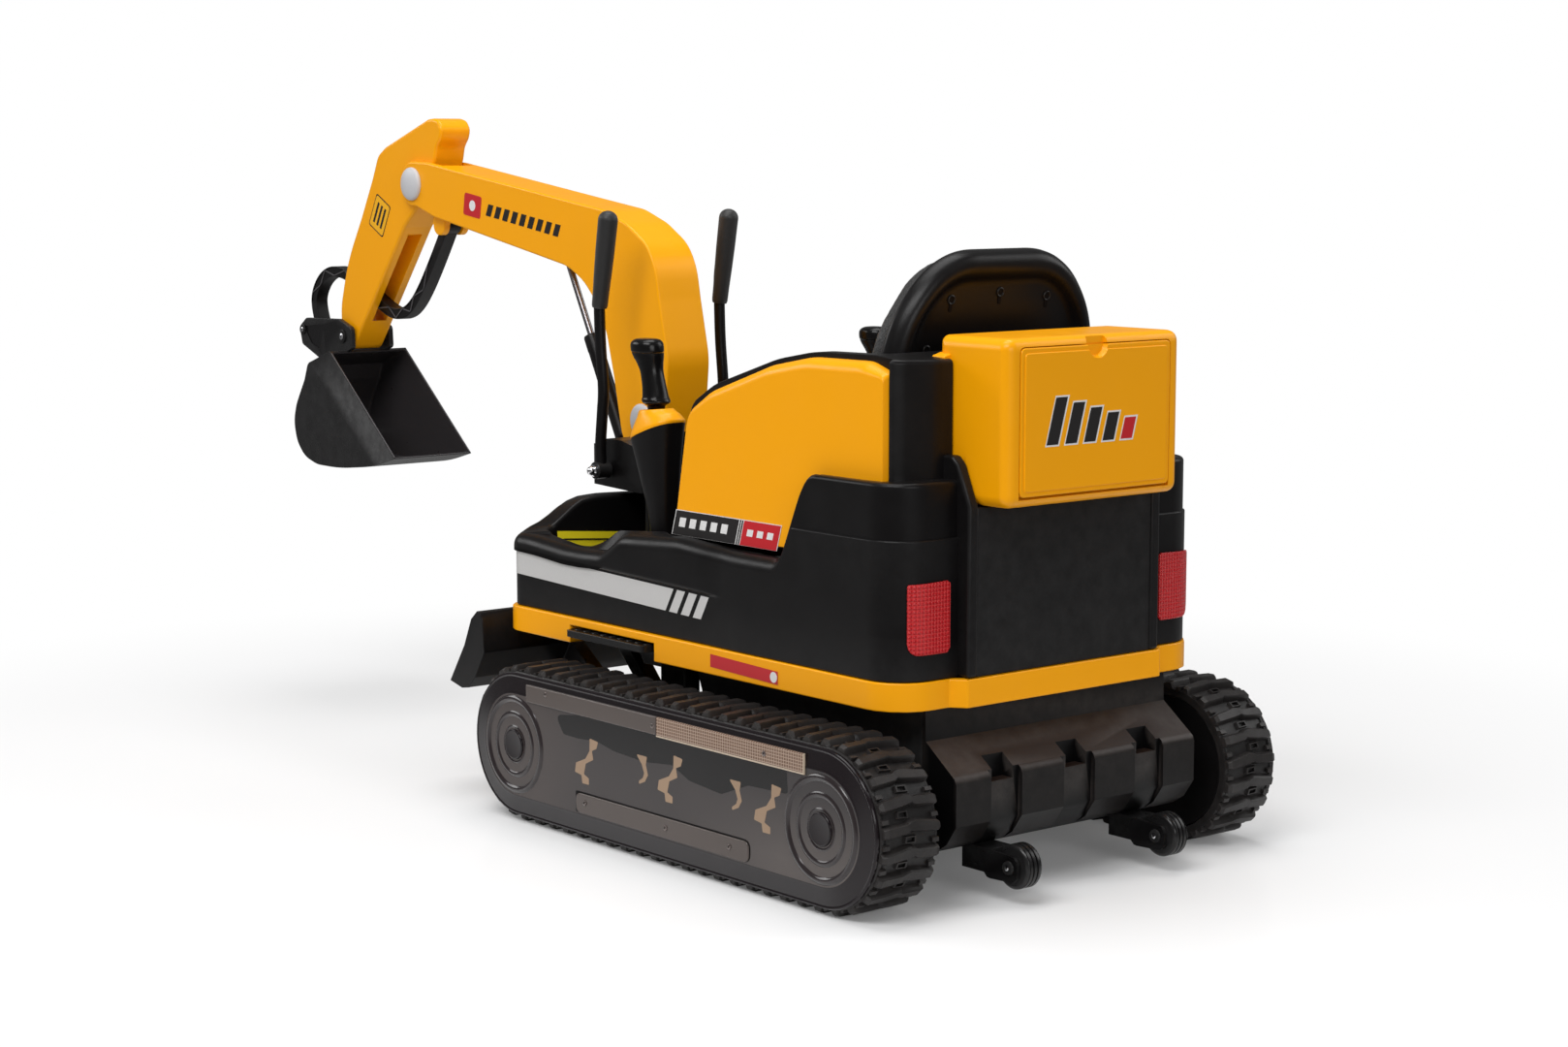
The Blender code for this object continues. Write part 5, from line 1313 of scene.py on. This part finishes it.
def cap_disc(node, radius):
    """Pin with a softly domed cap at each end."""
    low, high = edges(node)[0]
    spot = BOOM_BASE if node == "boom_pin" else BOOM_TIP
    half = edges("boom")[0][1] + 0.0002
    parts = [rod("shank", 0.0058, (-half, half), spot, STEEL)]
    for face, out in ((half, high), (-half, low)):
        way = 1 if out > 0 else -1
        thick = abs(out - face) * (1.0 if node == "boom_pin" else 1.6)
        dome = ((0.0, 0.45), (0.0006, 0.85), (0.0018, 1.2), (0.005, 1.55), (0.011, 1.85), (radius, 2.0))
        profile = [(0.0, 0.0), (radius, 0.0)] + [(radius - drop, thick * rise) for drop, rise in dome]
        parts.append(turned("cap", profile, (face, *spot), (way, 0, 0), CAP, 56))
    return merge(node + "_whole", parts)


def cross_screw(node, radius):
    """Pin ending in a countersunk cross-head screw on each side."""
    low, high = edges(node)[0]
    spot = (sum(edges(node)[1]) / 2, sum(edges(node)[2]) / 2)
    parts = [rod("shank", 0.0042, (low + 0.002, high - 0.002), spot, STEEL)]
    for x, way in ((high, 1), (low, -1)):
        base = x - way * 0.0028
        washer = [(0.0, 0.0), (radius, 0.0), (radius, 0.0012), (radius - 0.0008, 0.0018), (0.0, 0.0018)]
        parts.append(turned("washer", washer, (base, *spot), (way, 0, 0), BLACK, 36))
        parts.append(screw_head((base + way * 0.0012, *spot), (way, 0, 0), radius * 0.52, STEEL))
    return merge(node + "_whole", parts)


def turned_in_plane(outline, centre, angle):
    c, s = cos(radians(angle)), sin(radians(angle))
    return [(centre[0] + a * c - b * s, centre[1] + a * s + b * c) for a, b in outline]


def mark(outline, centre, angle, face, lift, material):
    return prism("mark", turned_in_plane(outline, centre, angle), "X", face, face + lift, material)


def boom_marks():
    """Plain red block and a row of dark slanted bars on the side of the boom."""
    face, angle, centre = edges("boom")[0][1], -8.5, (-0.75, 0.696)
    outline = filleted(four((-0.02, 0.02), (-0.0145, 0.0145)), 0.004, 6)
    parts = [mark(outline, centre, angle, face, 0.0003, RED_FOIL),
             mark(arc((0, 0), 0.007, 0, 345, 23), centre, angle, face, 0.0005, PALE_FOIL)]
    width, pitch, half, lean = 0.0115, 0.019, 0.0155 / 2, 0.0155 * 0.3
    for k in range(9):
        a = pitch * k
        bar = [(a, -half), (a + width, -half), (a + width + lean, half), (a + lean, half)]
        parts.append(mark(bar, (-0.718, 0.6915), angle, face, 0.0003, BLACK_FOIL))
    return merge("boom_marks", parts)


def arm_marks():
    """Small framed panel with three plain bars on the side of the arm."""
    face, angle, centre = edges("arm")[0][1], 62.0, (-0.993, 0.679)
    outer = filleted(four((-0.024, 0.024), (-0.02, 0.02)), 0.004, 6)
    inner = [(a * 0.93, b * 0.92) for a, b in outer]
    parts = [mark(outer, centre, angle, face, 0.0002, BLACK_FOIL),
             mark(inner, centre, angle, face, 0.0003, SIGN_FOIL)]
    for k in range(3):
        b = -0.012 + 0.0095 * k
        parts.append(mark(four((-0.015, 0.015), (b, b + 0.0045)), centre, angle, face, 0.0004, BLACK_FOIL))
    return merge("arm_marks", parts)


def strut_pieces():
    """Gas strut: painted cylinder with a rolled collar, and a polished rod with its eye."""
    foot = Vector((0.0, *STRUT_FOOT))
    low, high = edges("strut_rod")[1:]
    eye = Vector((0.0, low[0] + 0.008, high[1] - 0.008))
    way = eye - foot
    end = way.length - 0.006
    tube = [(0.0, 0.0), (0.006, 0.0), (0.006, 0.015), (0.0085, 0.017), (0.01, 0.021), (0.01, 0.138),
            (0.0104, 0.14), (0.0104, 0.157), (0.0098, 0.1592), (0.008, 0.16), (0.005, 0.16), (0.0, 0.156)]
    shaft = [(0.0, 0.112), (0.0042, 0.112), (0.0042, end), (0.0, end)]

    def eyed(name, profile, material, steps, spot, radius, half):
        ring = round_edges(rod("eye", radius, (-half, half), spot, BLACK), 0.0012, 2)
        return merge(name, [turned("bar", profile, foot, way, material, steps), ring])

    show(eyed("strut_tube", tube, BLACK, 40, STRUT_FOOT, 0.0085, 0.0078), "strut_cylinder")
    show(eyed("strut_shaft", shaft, ROD_STEEL, 32, eye[1:], 0.008, 0.007), "strut_rod")


def lever():
    """Bent powder-coated bar with a hub and a domed chrome nut."""
    x, y, z = LEVER_FOOT
    bends = ((0.002, 0.0, 0.004), (0.002, -0.001, 0.03), (0.001, 0.002, 0.07), (0.0, 0.003, 0.1),
             (0.0, -0.002, 0.15), (0.0, -0.004, 0.2), (0.0, -0.004, 0.23), (0.0, 0.002, 0.262))
    path = smooth_line([(x + a, y + b, z + c) for a, b, c in bends])
    hub = [(0.0, 0.0), (0.009, 0.0), (0.0104, 0.0012), (0.0104, 0.0196), (0.0092, 0.0208), (0.0, 0.0208)]
    nut = [(0.006, -0.001), (0.0072, 0.0), (0.0072, 0.0022), (0.0062, 0.003), (0.0056, 0.0036), (0.0054, 0.0056),
           (0.0044, 0.0078), (0.0024, 0.009), (0.0, 0.0093)]
    parts = [sweep("bar", path, [0.0068] * len(path), BLACK, 28),
             turned("hub", hub, (x - 0.0085, y, z), (1, 0, 0), BLACK, 40),
             turned("nut", nut, (x + 0.0124, y, z), (1, 0, 0), CHROME, 32)]
    return merge("lever_left_bar", parts)


def lever_grip():
    """Rubber paddle that swells towards a round top, with a short cuff below."""
    x, y, z = LEVER_FOOT
    foot, top = Vector((x, y - 0.0035, z + 0.196)), Vector((x, y + 0.017, z + 0.312))
    way = top - foot
    length = way.length
    rows = [(0.0, 0.0088), (0.0025, 0.0096), (0.007, 0.0098), (0.02, 0.01), (0.04, 0.0108),
            (0.07, 0.0116)]
    for k in range(7):
        turn = radians(15 * k)
        rows.append((length - 0.011 + 0.011 * sin(turn), 0.0118 * cos(turn) + 0.0002))
    path = [foot + way * (t / length) for t, r in rows]
    return sweep("lever_left_grip", path, [r for t, r in rows], GRIP, 36)


def make_gear():
    for made, node in ((boom, "boom"), (arm, "arm"), (bucket, "bucket"), (bucket_link, "bucket_link")):
        show(made(), node)
    for made, node, radius in ((cap_disc, "boom_pin", 0.021), (cap_disc, "arm_pin", 0.0222),
                               (cross_screw, "bucket_pin", 0.0092), (cross_screw, "link_pin", 0.007)):
        show(made(node, radius), node)
    extra(boom_marks(), "boom")
    extra(arm_marks(), "arm")
    strut_pieces()
    pair(lever(), "lever_left")
    pair(lever_grip(), "lever_grip_left")


make_gear()


# ---------------------------------------------------------------- seat, controls and rear end
SEAT_LEAN, LEAN_FOOT = 0.15, 0.45
PAD_GRID, PAD_PRESSURE, PAD_STEPS = 0.0052, 4.0, 20
SEAM_LINES, SEAM_WIDTH, CORD_RADIUS = (-0.062, 0.062), 0.005, 0.0016


def leaned(points):
    return [(x, y + (z - LEAN_FOOT) * SEAT_LEAN, z) for x, y, z in points]


def back_outline(inset):
    half, top = 0.15 - inset, 0.664 - inset
    foot, crown = 0.4 + inset, 0.088 - inset * 0.4
    corners = [(-half, foot, 0.02), (half, foot, 0.02), (half, 0.585, 0.14), (crown, top, 0.14), (-crown, top, 0.14),
               (-half, 0.585, 0.14)]
    return filleted(corners, 0.05, 16)


def seat_loft(name, depth, material):
    """Loft of the seat back's outline, each layer with its own inset and y."""
    return loft(name, [leaned([(x, y, z) for x, z in back_outline(inset)]) for inset, y in depth], material)


def seat_back_shell():
    """Rear half of the seat back: thick rolled rim, dished middle with keyhole slots shown as painted shade."""
    depth = ((0.003, 0.1692), (0.0008, 0.17), (0.0, 0.1718), (0.0, 0.1745), (0.0012, 0.18), (0.0038, 0.1852),
             (0.0075, 0.1894), (0.0122, 0.192), (0.017, 0.1928), (0.022, 0.192), (0.027, 0.1896),
             (0.031, 0.1866), (0.0345, 0.1846), (0.04, 0.1838), (0.05, 0.1836))
    parts = [seat_loft("back_shell", depth, BLACK)]
    rim = [(0.0052, -0.001), (0.0052, 0.0006), (0.0044, 0.0011), (0.0034, 0.0006), (0.0034, -0.001)]
    hole = [(0.0036, 0.0), (0.0036, 0.0002), (0.0, 0.0002)]
    for x, z in ((-0.07, 0.612), (0.0, 0.618), (0.07, 0.612), (0.098, 0.56), (-0.098, 0.56), (0.098, 0.5),
                 (-0.098, 0.5)):
        spot, out = (x, 0.1842 + (z - LEAN_FOOT) * SEAT_LEAN, z), (0, 1, -SEAT_LEAN)
        parts.append(turned("slot_rim", rim, spot, out, BLACK, 24))
        # Painted shade: each hole and its tail are flat near-black discs and strips, not openings.
        parts.append(turned("slot_hole", hole, spot, out, GAP_SHADE, 20))
        tail = filleted(four((x - 0.0022, x + 0.0022), (z - 0.013, z - 0.002)), 0.002, 4)
        sections = [leaned([(a, y0, b) for a, b in tail]) for y0 in (0.183, 0.1843)]
        parts.append(loft("slot_tail", sections, GAP_SHADE))
    return merge("seat_back_rear", parts)


def inflate(made, limit):
    even = made.modifiers.new("even", "REMESH")
    even.mode = "VOXEL"
    even.voxel_size = PAD_GRID
    bake(made)
    rest = [vertex.co.copy() for vertex in made.data.vertices]
    cloth = made.modifiers.new("cloth", "CLOTH")
    cloth.settings.quality = 6
    cloth.settings.mass = 0.3
    cloth.settings.use_pressure = True
    cloth.settings.uniform_pressure_force = PAD_PRESSURE
    cloth.settings.effector_weights.gravity = 0.0
    cloth.point_cache.frame_start = 1
    cloth.point_cache.frame_end = PAD_STEPS
    for moment in range(1, PAD_STEPS + 1):
        bpy.context.scene.frame_set(moment)
    bake(made)
    bpy.context.scene.frame_set(1)
    for vertex, start in zip(made.data.vertices, rest):
        move = vertex.co - start
        if move.length > limit:
            vertex.co = start + move * (limit / move.length)
    return made


def crease(made, depth, out):
    """Presses sewn channels into a padded piece; out is the outward direction of the padded face."""
    out = Vector(out)
    for vertex, normal in zip(made.data.vertices, [n.vector.copy() for n in made.data.vertex_normals]):
        if normal.dot(out) < 0.3:
            continue
        for seam in SEAM_LINES:
            away = (vertex.co.x - seam) / SEAM_WIDTH
            if abs(away) < 3:
                vertex.co -= out * depth * exp(-away * away)


def padded(made, limit, depth, out):
    """Swells a moulded pad, presses its seams in and smooths it."""
    inflate(made, limit)
    crease(made, depth, out)
    step = made.modifiers.new("fine", "SUBSURF")
    step.levels = 1
    step.render_levels = 1
    bake(made)
    made.data.shade_smooth()
    made.data.materials.clear()
    made.data.materials.append(VINYL)
    return made


def piping(loop):
    """Closed cord along a seam."""
    sections = []
    count = len(loop)
    for i, point in enumerate(loop):
        ahead = (Vector(loop[(i + 1) % count]) - Vector(loop[i - 1])).normalized()
        side = ahead.cross(Vector((0, 0.2, 1)) if abs(ahead.z) < 0.9 else Vector((0, 1, 0.15))).normalized()
        other = ahead.cross(side)
        turns = [2 * pi * k / 10 for k in range(10)]
        sections.append([Vector(point) + (side * cos(t) + other * sin(t)) * CORD_RADIUS for t in turns])
    return loft("seam", sections, VINYL, ring=True, angle=80)


def seat_back_pad():
    """Padded front half of the seat back with two sewn channels."""
    depth = ((0.01, 0.1684), (0.006, 0.1676), (0.0052, 0.164), (0.005, 0.158), (0.0052, 0.15),
             (0.008, 0.144), (0.014, 0.1405), (0.03, 0.1395))
    pad = padded(seat_loft("pad", depth, VINYL), 0.0045, 0.0042, (0, -1, 0))
    seam = piping(leaned([(x, 0.1676, z) for x, z in back_outline(0.004)]))
    return merge("seat_back_front", [pad, seam])


def seat_cushion():
    """Padded cushion with two sewn channels and a cord round its side."""
    (_, half), (y0, y1), (z0, z1) = edges("seat_cushion")
    middle = (y0 + y1) / 2

    def outline(inset):
        a, b = half - inset, (y1 - y0) / 2 - inset
        return filleted(four((-a, a), (middle - b, middle + b)), 0.034, 10)

    height = ((0.006, z0), (0.003, z0 + 0.0015), (0.003, z0 + 0.016), (0.0034, z0 + 0.024),
              (0.007, z1 - 0.0085), (0.015, z1 - 0.005), (0.03, z1 - 0.004))
    pad = loft("cushion", [[(x, y, z) for x, y in outline(inset)] for inset, z in height], VINYL)
    padded(pad, 0.003, 0.0036, (0, 0, 1))
    for vertex in pad.data.vertices:
        vertex.co.z = max(vertex.co.z, z0)
    return merge("seat_cushion_cover", [pad, piping([(x, y, z0 + 0.023) for x, y in outline(0.0012)])])


def upper_body():
    """Shell round the seat: dark rim over the side panels, deck, corner columns and rear wall."""
    outer = edges("side_panel_left")[0][1] - 0.001
    wall = edges("side_panel_left")[0][0] - 0.0003
    deck = edges("seat_cushion")[2][0] - 0.0003
    plan = [(-outer, -0.1, 0.0), (outer, -0.1, 0.0), (outer, 0.26, 0.03), (0.15, 0.2745, 0.06),
            (-0.15, 0.2745, 0.06), (-outer, 0.26, 0.03)]
    body = prism("upper_skin", filleted(plan, 0.02, 8), "Z", deck - 0.006, 0.6, BLACK)
    top = [(-0.12, 0.3, 0.0), (-0.103, 0.345, 0.0), (-0.083, 0.49, 0.03), (-0.04, 0.5145, 0.1),
           (0.068, 0.548, 0.2), (0.13, 0.559, 0.2), (0.225, 0.5605, 0.03), (0.32, 0.552, 0.0),
           (0.32, 0.7, 0.0), (-0.12, 0.7, 0.0)]
    carve(body, prism("above", filleted(top, 0.0, 8), "X", -0.4, 0.4, BLACK))
    round_edges(body, 0.0045, 4, 40)
    seat = filleted(four((-0.172, 0.172), (-0.15, 0.22)), 0.02, 8)
    bay = edges("trunk_box")[0][1] + 0.0015
    front = edges("trunk_box")[1][0] - 0.0015
    carve(body, prism("seat_space", seat, "Z", deck, 0.7, BLACK),
          block("trunk_bay", (-bay, bay), (front, 0.4), (0.4, 0.7), BLACK),
          block("left_seat", (wall, 0.3), (-0.2, 0.2563), (0.3, 0.7), BLACK),
          block("right_seat", (-0.3, -wall), (-0.2, 0.2563), (0.3, 0.7), BLACK))
    round_edges(body, 0.0016, 2, 50)
    riser = block("riser", (-0.18, 0.18), (-0.0975, -0.0925), (0.2413, deck - 0.001), BLACK)
    return merge("upper_body_whole", [body, riser])


def stick_loop(scale_x, scale_y, centre, z_front, z_rear, count=48, power=0.75):
    """Rounded loop, tilted from z_front to z_rear."""
    loop = []
    for k in range(count):
        turn = 2 * pi * k / count
        c, s = cos(turn), sin(turn)
        x = scale_x * abs(c) ** power * (1 if c >= 0 else -1)
        y = scale_y * abs(s) ** power * (1 if s >= 0 else -1)
        share = (y / scale_y + 1) / 2
        loop.append((centre[0] + x, centre[1] + y, z_front + (z_rear - z_front) * share))
    return loop


def joystick_pod():
    x = STICK[0]
    rows = [(0.013, 0.015, -0.152, 0.2413, 0.2413), (0.014, 0.016, -0.156, 0.34, 0.342),
            (0.018, 0.023, -0.162, 0.39, 0.398), (0.022, 0.031, -0.166, 0.425, 0.444),
            (0.024, 0.034, -0.167, 0.4385, 0.4625), (0.0237, 0.0337, -0.167, 0.4395, 0.4635)]
    return fine_loft("pod_skin", [stick_loop(a, b, (x, y), low, high) for a, b, y, low, high in rows], 5, BLACK)


def pod_collar():
    """Yellow cap with a soft shoulder and a flared mouth round the stick."""
    x = STICK[0]
    rows = [(0.0245, 0.0345, -0.167, 0.4404, 0.4644, 0.75), (0.0247, 0.0347, -0.167, 0.4425, 0.4665, 0.75),
            (0.0243, 0.0338, -0.1672, 0.447, 0.469, 0.78), (0.0225, 0.029, -0.168, 0.458, 0.4745, 0.9),
            (0.0212, 0.0245, -0.1688, 0.466, 0.4765, 1.0), (0.02, 0.0215, -0.1694, 0.4725, 0.4778, 1.0),
            (0.0188, 0.0196, -0.1695, 0.4752, 0.4788, 1.0), (0.0172, 0.0178, -0.1695, 0.475, 0.4782, 1.0),
            (0.0155, 0.0158, -0.1695, 0.4705, 0.473, 1.0), (0.0138, 0.014, -0.1695, 0.463, 0.4635, 1.0)]
    sections = [stick_loop(a, b, (x, y), low, high, power=p) for a, b, y, low, high, p in rows]
    return fine_loft("collar_skin", sections, 3, YELLOW)


def joystick():
    """Moulded grip on a short bellows; the head leans forward and has a seam below its cap."""
    x, y, z = STICK
    rows = [(-0.01, 0.0, 0.0095, 0.0095), (0.001, 0.0, 0.0098, 0.0098), (0.0035, 0.0, 0.012, 0.0125),
            (0.006, 0.0, 0.015, 0.016), (0.0095, -0.001, 0.0152, 0.0162), (0.0125, -0.0015, 0.0142, 0.015),
            (0.025, -0.004, 0.013, 0.0138), (0.04, -0.008, 0.0125, 0.0135), (0.049, -0.011, 0.0138, 0.0155),
            (0.056, -0.0138, 0.0155, 0.0182), (0.0615, -0.0158, 0.0166, 0.02)]
    head_rows = [(0.0622, -0.016, 0.016, 0.0194), (0.0632, -0.0162, 0.0168, 0.0203),
                 (0.068, -0.0168, 0.017, 0.0205), (0.072, -0.017, 0.0165, 0.0198),
                 (0.075, -0.0168, 0.0145, 0.0175), (0.077, -0.0164, 0.0105, 0.0132),
                 (0.0776, -0.0162, 0.005, 0.0065)]

    def part(name, rows):
        sections = [stick_loop(a, b, (x, y + lean), z + up, z + up, 40, 0.9) for up, lean, a, b in rows]
        return fine_loft(name, sections, 4, GLOSS)

    return merge("joystick_left_grip", [part("stick_skin", rows), part("stick_head", head_rows)])


def rear_reflector():
    """Lens that follows the rear corner, with its lower corners rounded."""
    centre = (REAR_HALF - TAIL_CORNER, TUB_REAR - TAIL_CORNER)
    z0, z1 = edges("rear_reflector_left")[2]
    path = [((0.155 + (centre[0] - 0.155) * k / 8, centre[1] + TAIL_CORNER), (0.0, 1.0)) for k in range(8)]
    for k in range(19):
        turn = radians(90 - 34 * k / 18)
        out = cos(turn), sin(turn)
        path.append(((centre[0] + TAIL_CORNER * out[0], centre[1] + TAIL_CORNER * out[1]), out))
    run = [0.0]
    for before, after in zip(path, path[1:]):
        run.append(run[-1] + (Vector(after[0]) - Vector(before[0])).length)
    total = run[-1]

    def rounded(t, radius):
        return radius - sqrt(max(0.0, radius ** 2 - (radius - t) ** 2)) if t < radius else 0.0

    sections = []
    for ((x, y), (nx, ny)), t in zip(path, run):
        low = z0 + max(rounded(t, 0.004), rounded(total - t, 0.012))
        high = z1 - max(rounded(t, 0.002), rounded(total - t, 0.002)) - 0.0015 * t / total
        skin = ((0.0003, low), (0.0018, low), (0.0025, low + 0.0009), (0.0025, high - 0.0009), (0.0018, high),
                (0.0003, high))
        sections.append([(x + nx * out, y + ny * out, z) for out, z in skin])
    return loft("reflector_left_lens", sections, LENS, angle=30)


def rear_bumper():
    """Wall, sloped ledge, and a face of raised panels between three open-topped notches."""
    (x0, x1), (y0, y1), (z0, z1) = edges("rear_bumper")
    face, raised = y1 - 0.0062, y1
    slope = 0.032 / 0.043
    base = [(y0, z1), (y0, z0), (0.306, z0), (0.319, 0.066), (face, 0.085), (face, 0.168 - slope * (face - 0.29)),
            (0.29, 0.168), (0.289, z1)]
    body = prism("bumper_skin", base, "X", x0, x1, SATIN)
    panel = [(0.3, z0), (0.306, z0), (0.322, 0.066), (raised, 0.086), (raised, 0.13), (0.3335, 0.1356),
             (0.3, 0.1605)]
    for low, high in ((x0, -0.128), (-0.084, -0.023), (0.023, 0.084), (0.128, x1)):
        weld(body, prism("raised", panel, "X", low, high, SATIN))
    round_edges(body, 0.0032, 4)
    for x in (-0.107, 0.0, 0.107):
        pocket = four((x - 0.015, x + 0.015), (0.1255, 0.18))
        carve(body, prism("pocket", pocket, "Y", 0.314, y1 + 0.02, SATIN))
    slot = [(-0.017, 0.05), (0.017, 0.05), (0.013, 0.079), (-0.013, 0.079)]
    carve(body, prism("slot", slot, "Y", 0.326, y1 + 0.02, SATIN))
    return round_edges(body, 0.0012, 2, 50)


def caster_bracket():
    """Fork with rounded cheeks and a bright cross-head screw on its axle."""
    y, z = PIVOT["caster_left_spin"][1:]
    x0, x1 = edges("caster_bracket_left")[0]
    parts = [polished("caster_bracket_left", material=GLOSS)]
    for x, way in ((x1, 1), (x0, -1)):
        parts.append(turned("boss", [(0.0, 0.0), (0.0074, 0.0), (0.0068, 0.0022), (0.0, 0.0022)],
                            (x - way * 0.003, y, z), (way, 0, 0), GLOSS, 28))
        parts.append(screw_head((x - way * 0.001, y, z), (way, 0, 0), 0.0034, CHROME))
    return merge("caster_fork_left", parts)


def caster_wheel():
    """Hard wheel with three ribs round its tread."""
    (x0, x1), _, (z0, z1) = edges("caster_wheel_left")
    radius, width = (z1 - z0) / 2, x1 - x0
    profile = [(0.004, 0.0), (radius - 0.004, 0.0), (radius - 0.0012, 0.0012), (radius, 0.0032)]
    for k in range(3):
        start = 0.0032 + 0.0056 * k
        profile += [(radius, start + 0.0034), (radius - 0.0012, start + 0.004), (radius - 0.0012, start + 0.005),
                    (radius, start + 0.0056)]
    profile = [(r, min(a, width - 0.003)) for r, a in profile]
    profile += [(radius - 0.0012, width - 0.0012), (radius - 0.004, width), (0.004, width)]
    return turned("caster_wheel_tyre", profile, (x0, *PIVOT["caster_left_spin"][1:]), (1, 0, 0), GLOSS, 56, ring=True)


def foot_step():
    """Braced step with low ribs across its tread."""
    parts = [polished("foot_step_left", material=GLOSS)]
    tread = edges("foot_step_left")[2][1]
    for k in range(9):
        y = -0.254 + 0.0165 * k
        rib = [(0.158, y), (0.229, y + 0.0015), (0.229, y + 0.006), (0.158, y + 0.0045)]
        parts.append(round_edges(prism("rib", rib, "Z", tread - 0.001, tread + 0.0009, GLOSS), 0.0005, 2))
    return merge("foot_step_tread", parts)


def footwell_plate():
    """Plain yellow plate with three dark lines on the inner wall of the footwell."""
    def sheet(name, corners, material):
        bm = bmesh.new()
        bm.faces.new([bm.verts.new(point) for point in corners])
        return finish(name, bm, material)

    parts = [sheet("plate", ((0.172, -0.3664, 0.318), (0.077, -0.3664, 0.3095), (0.077, -0.3652, 0.27),
                             (0.172, -0.3652, 0.2785)), YELLOW_FOIL)]
    for k in range(3):
        far, y, z = 0.09 + 0.01 * k, -0.365, 0.3085 - 0.009 * k
        corners = ((0.164, y, z), (far, y, z - 0.006), (far, y, z - 0.008), (0.164, y, z - 0.002))
        parts.append(sheet("line", corners, BLACK_FOIL))
    return merge("footwell_plate", parts)


def make_cab():
    for made in (upper_body, seat_back_shell, seat_back_pad, seat_cushion):
        show(made(), made.__name__)
    for made in (joystick_pod, pod_collar, joystick, rear_reflector):
        pair(made(), made.__name__ + "_left")
    show(rear_bumper(), "rear_bumper")
    for made in (caster_bracket, caster_wheel, foot_step):
        pair(made(), made.__name__ + "_left")
    extra(footwell_plate(), "house")


make_cab()


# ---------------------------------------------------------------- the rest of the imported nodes
ROUND = {"base_skirt": 0.0018, "dozer_blade": 0.002, "chassis_frame": 0.002, "pedestal": 0.0025}
for node, thing in sorted(frame["nodes"].items()):
    thing.data.materials.clear()
    thing.data.materials.append(SLOT_MATERIAL[SLOT[node]])
    if not thing.hide_render:
        show(polished(node, ROUND.get(node, 0.0014)), node)


# ---------------------------------------------------------------- studio
FLOOR_HALF, FLOOR_DROP = 24.0, 0.0005
SCENE_MIDDLE = Vector((0.0, -0.25 + TRACKS_MIDDLE, 0.35))
# name, spot measured like the pieces, width, height, watts
LAMPS = (("key", (3.0, 1.2, 3.6), 3.2, 1.6, 126), ("fill", (-3.6, 1.6, 2.4), 2.4, 2.4, 45),
         ("rear", (1.2, 4.2, 1.5), 2.6, 1.2, 40), ("top", (0.0, -0.4, 4.2), 3.4, 2.6, 105),
         ("front", (2.4, -3.8, 2.2), 2.2, 1.4, 40))
CAMERA_SPOT = (2.1209, 2.4092 + TRACKS_MIDDLE, 0.765)
CAMERA_WAY = Vector((-0.6327, -0.7637, -0.1285))
FOCAL_LENGTH, SENSOR_WIDTH = 65.73, 36.0


def aim(way):
    return way.to_track_quat("-Z", "Y").to_euler()


def floor():
    """Pale floor that fades into the white behind it."""
    bm = bmesh.new()
    for x, y in four((-FLOOR_HALF, FLOOR_HALF), (-FLOOR_HALF, FLOOR_HALF)):
        bm.verts.new((x, y, CAD_BOX[0][2] - FLOOR_DROP))
    bm.faces.new(bm.verts)
    made, tree, shader = graph("studio_floor")
    spot = place(tree)
    soft = noise_of(tree, spot, 0.8, 2)
    connect(tree, shader, colour=mix(tree, soft, (0.93, 0.93, 0.935), (0.97, 0.97, 0.972)), rough=0.2, spec=0.35)
    shader.inputs["Emission Color"].default_value = WHITE
    seen = add(tree, "ShaderNodeLightPath").outputs["Is Camera Ray"]
    tree.links.new(span(tree, seen, 0.0, 1.0, 0.0, 0.1), shader.inputs["Emission Strength"])
    seen = add(tree, "ShaderNodeLightPath").outputs["Is Camera Ray"]
    glow = add(tree, "ShaderNodeEmission", {"Strength": span(tree, seen, 0.0, 1.0, 0.22, 1.0)})
    away = add(tree, "ShaderNodeVectorMath", {0: spot, 1: (0.0, SCENE_MIDDLE.y, 0.0)}, operation="DISTANCE")
    fade = add(tree, "ShaderNodeMapRange", {"Value": away.outputs["Value"], "From Min": 0.55, "From Max": 1.6},
               interpolation_type="SMOOTHSTEP")
    blend = add(tree, "ShaderNodeMixShader", {0: fade.outputs[0], 1: shader.outputs[0], 2: glow.outputs[0]})
    tree.links.new(blend.outputs[0], tree.nodes["Material Output"].inputs["Surface"])
    finish("studio_floor", bm, made)


def lights(scene):
    world = bpy.data.worlds.new("studio_light")
    scene.world = world
    world.use_nodes = True
    sky = world.node_tree
    seen = add(sky, "ShaderNodeLightPath").outputs["Is Camera Ray"]
    sky.links.new(span(sky, seen, 0.0, 1.0, 0.16, 1.0), sky.nodes["Background"].inputs["Strength"])
    sky.nodes["Background"].inputs["Color"].default_value = WHITE
    for name, spot, width, height, power in LAMPS:
        light = bpy.data.lights.new(name, "AREA")
        light.shape = "RECTANGLE"
        light.size = width
        light.size_y = height
        light.energy = power
        lamp = bpy.data.objects.new(name, light)
        lamp.location = spot
        lamp.location.y += TRACKS_MIDDLE
        lamp.rotation_euler = aim(SCENE_MIDDLE - lamp.location)
        scene.collection.objects.link(lamp)


def view(scene):
    lens = bpy.data.cameras.new("camera")
    lens.lens = FOCAL_LENGTH
    lens.sensor_width = SENSOR_WIDTH
    camera = bpy.data.objects.new("camera", lens)
    camera.location = CAMERA_SPOT
    camera.rotation_euler = aim(CAMERA_WAY)
    scene.collection.objects.link(camera)
    scene.camera = camera
    scene.view_settings.view_transform = "Standard"


floor()
lights(bpy.context.scene)
view(bpy.context.scene)
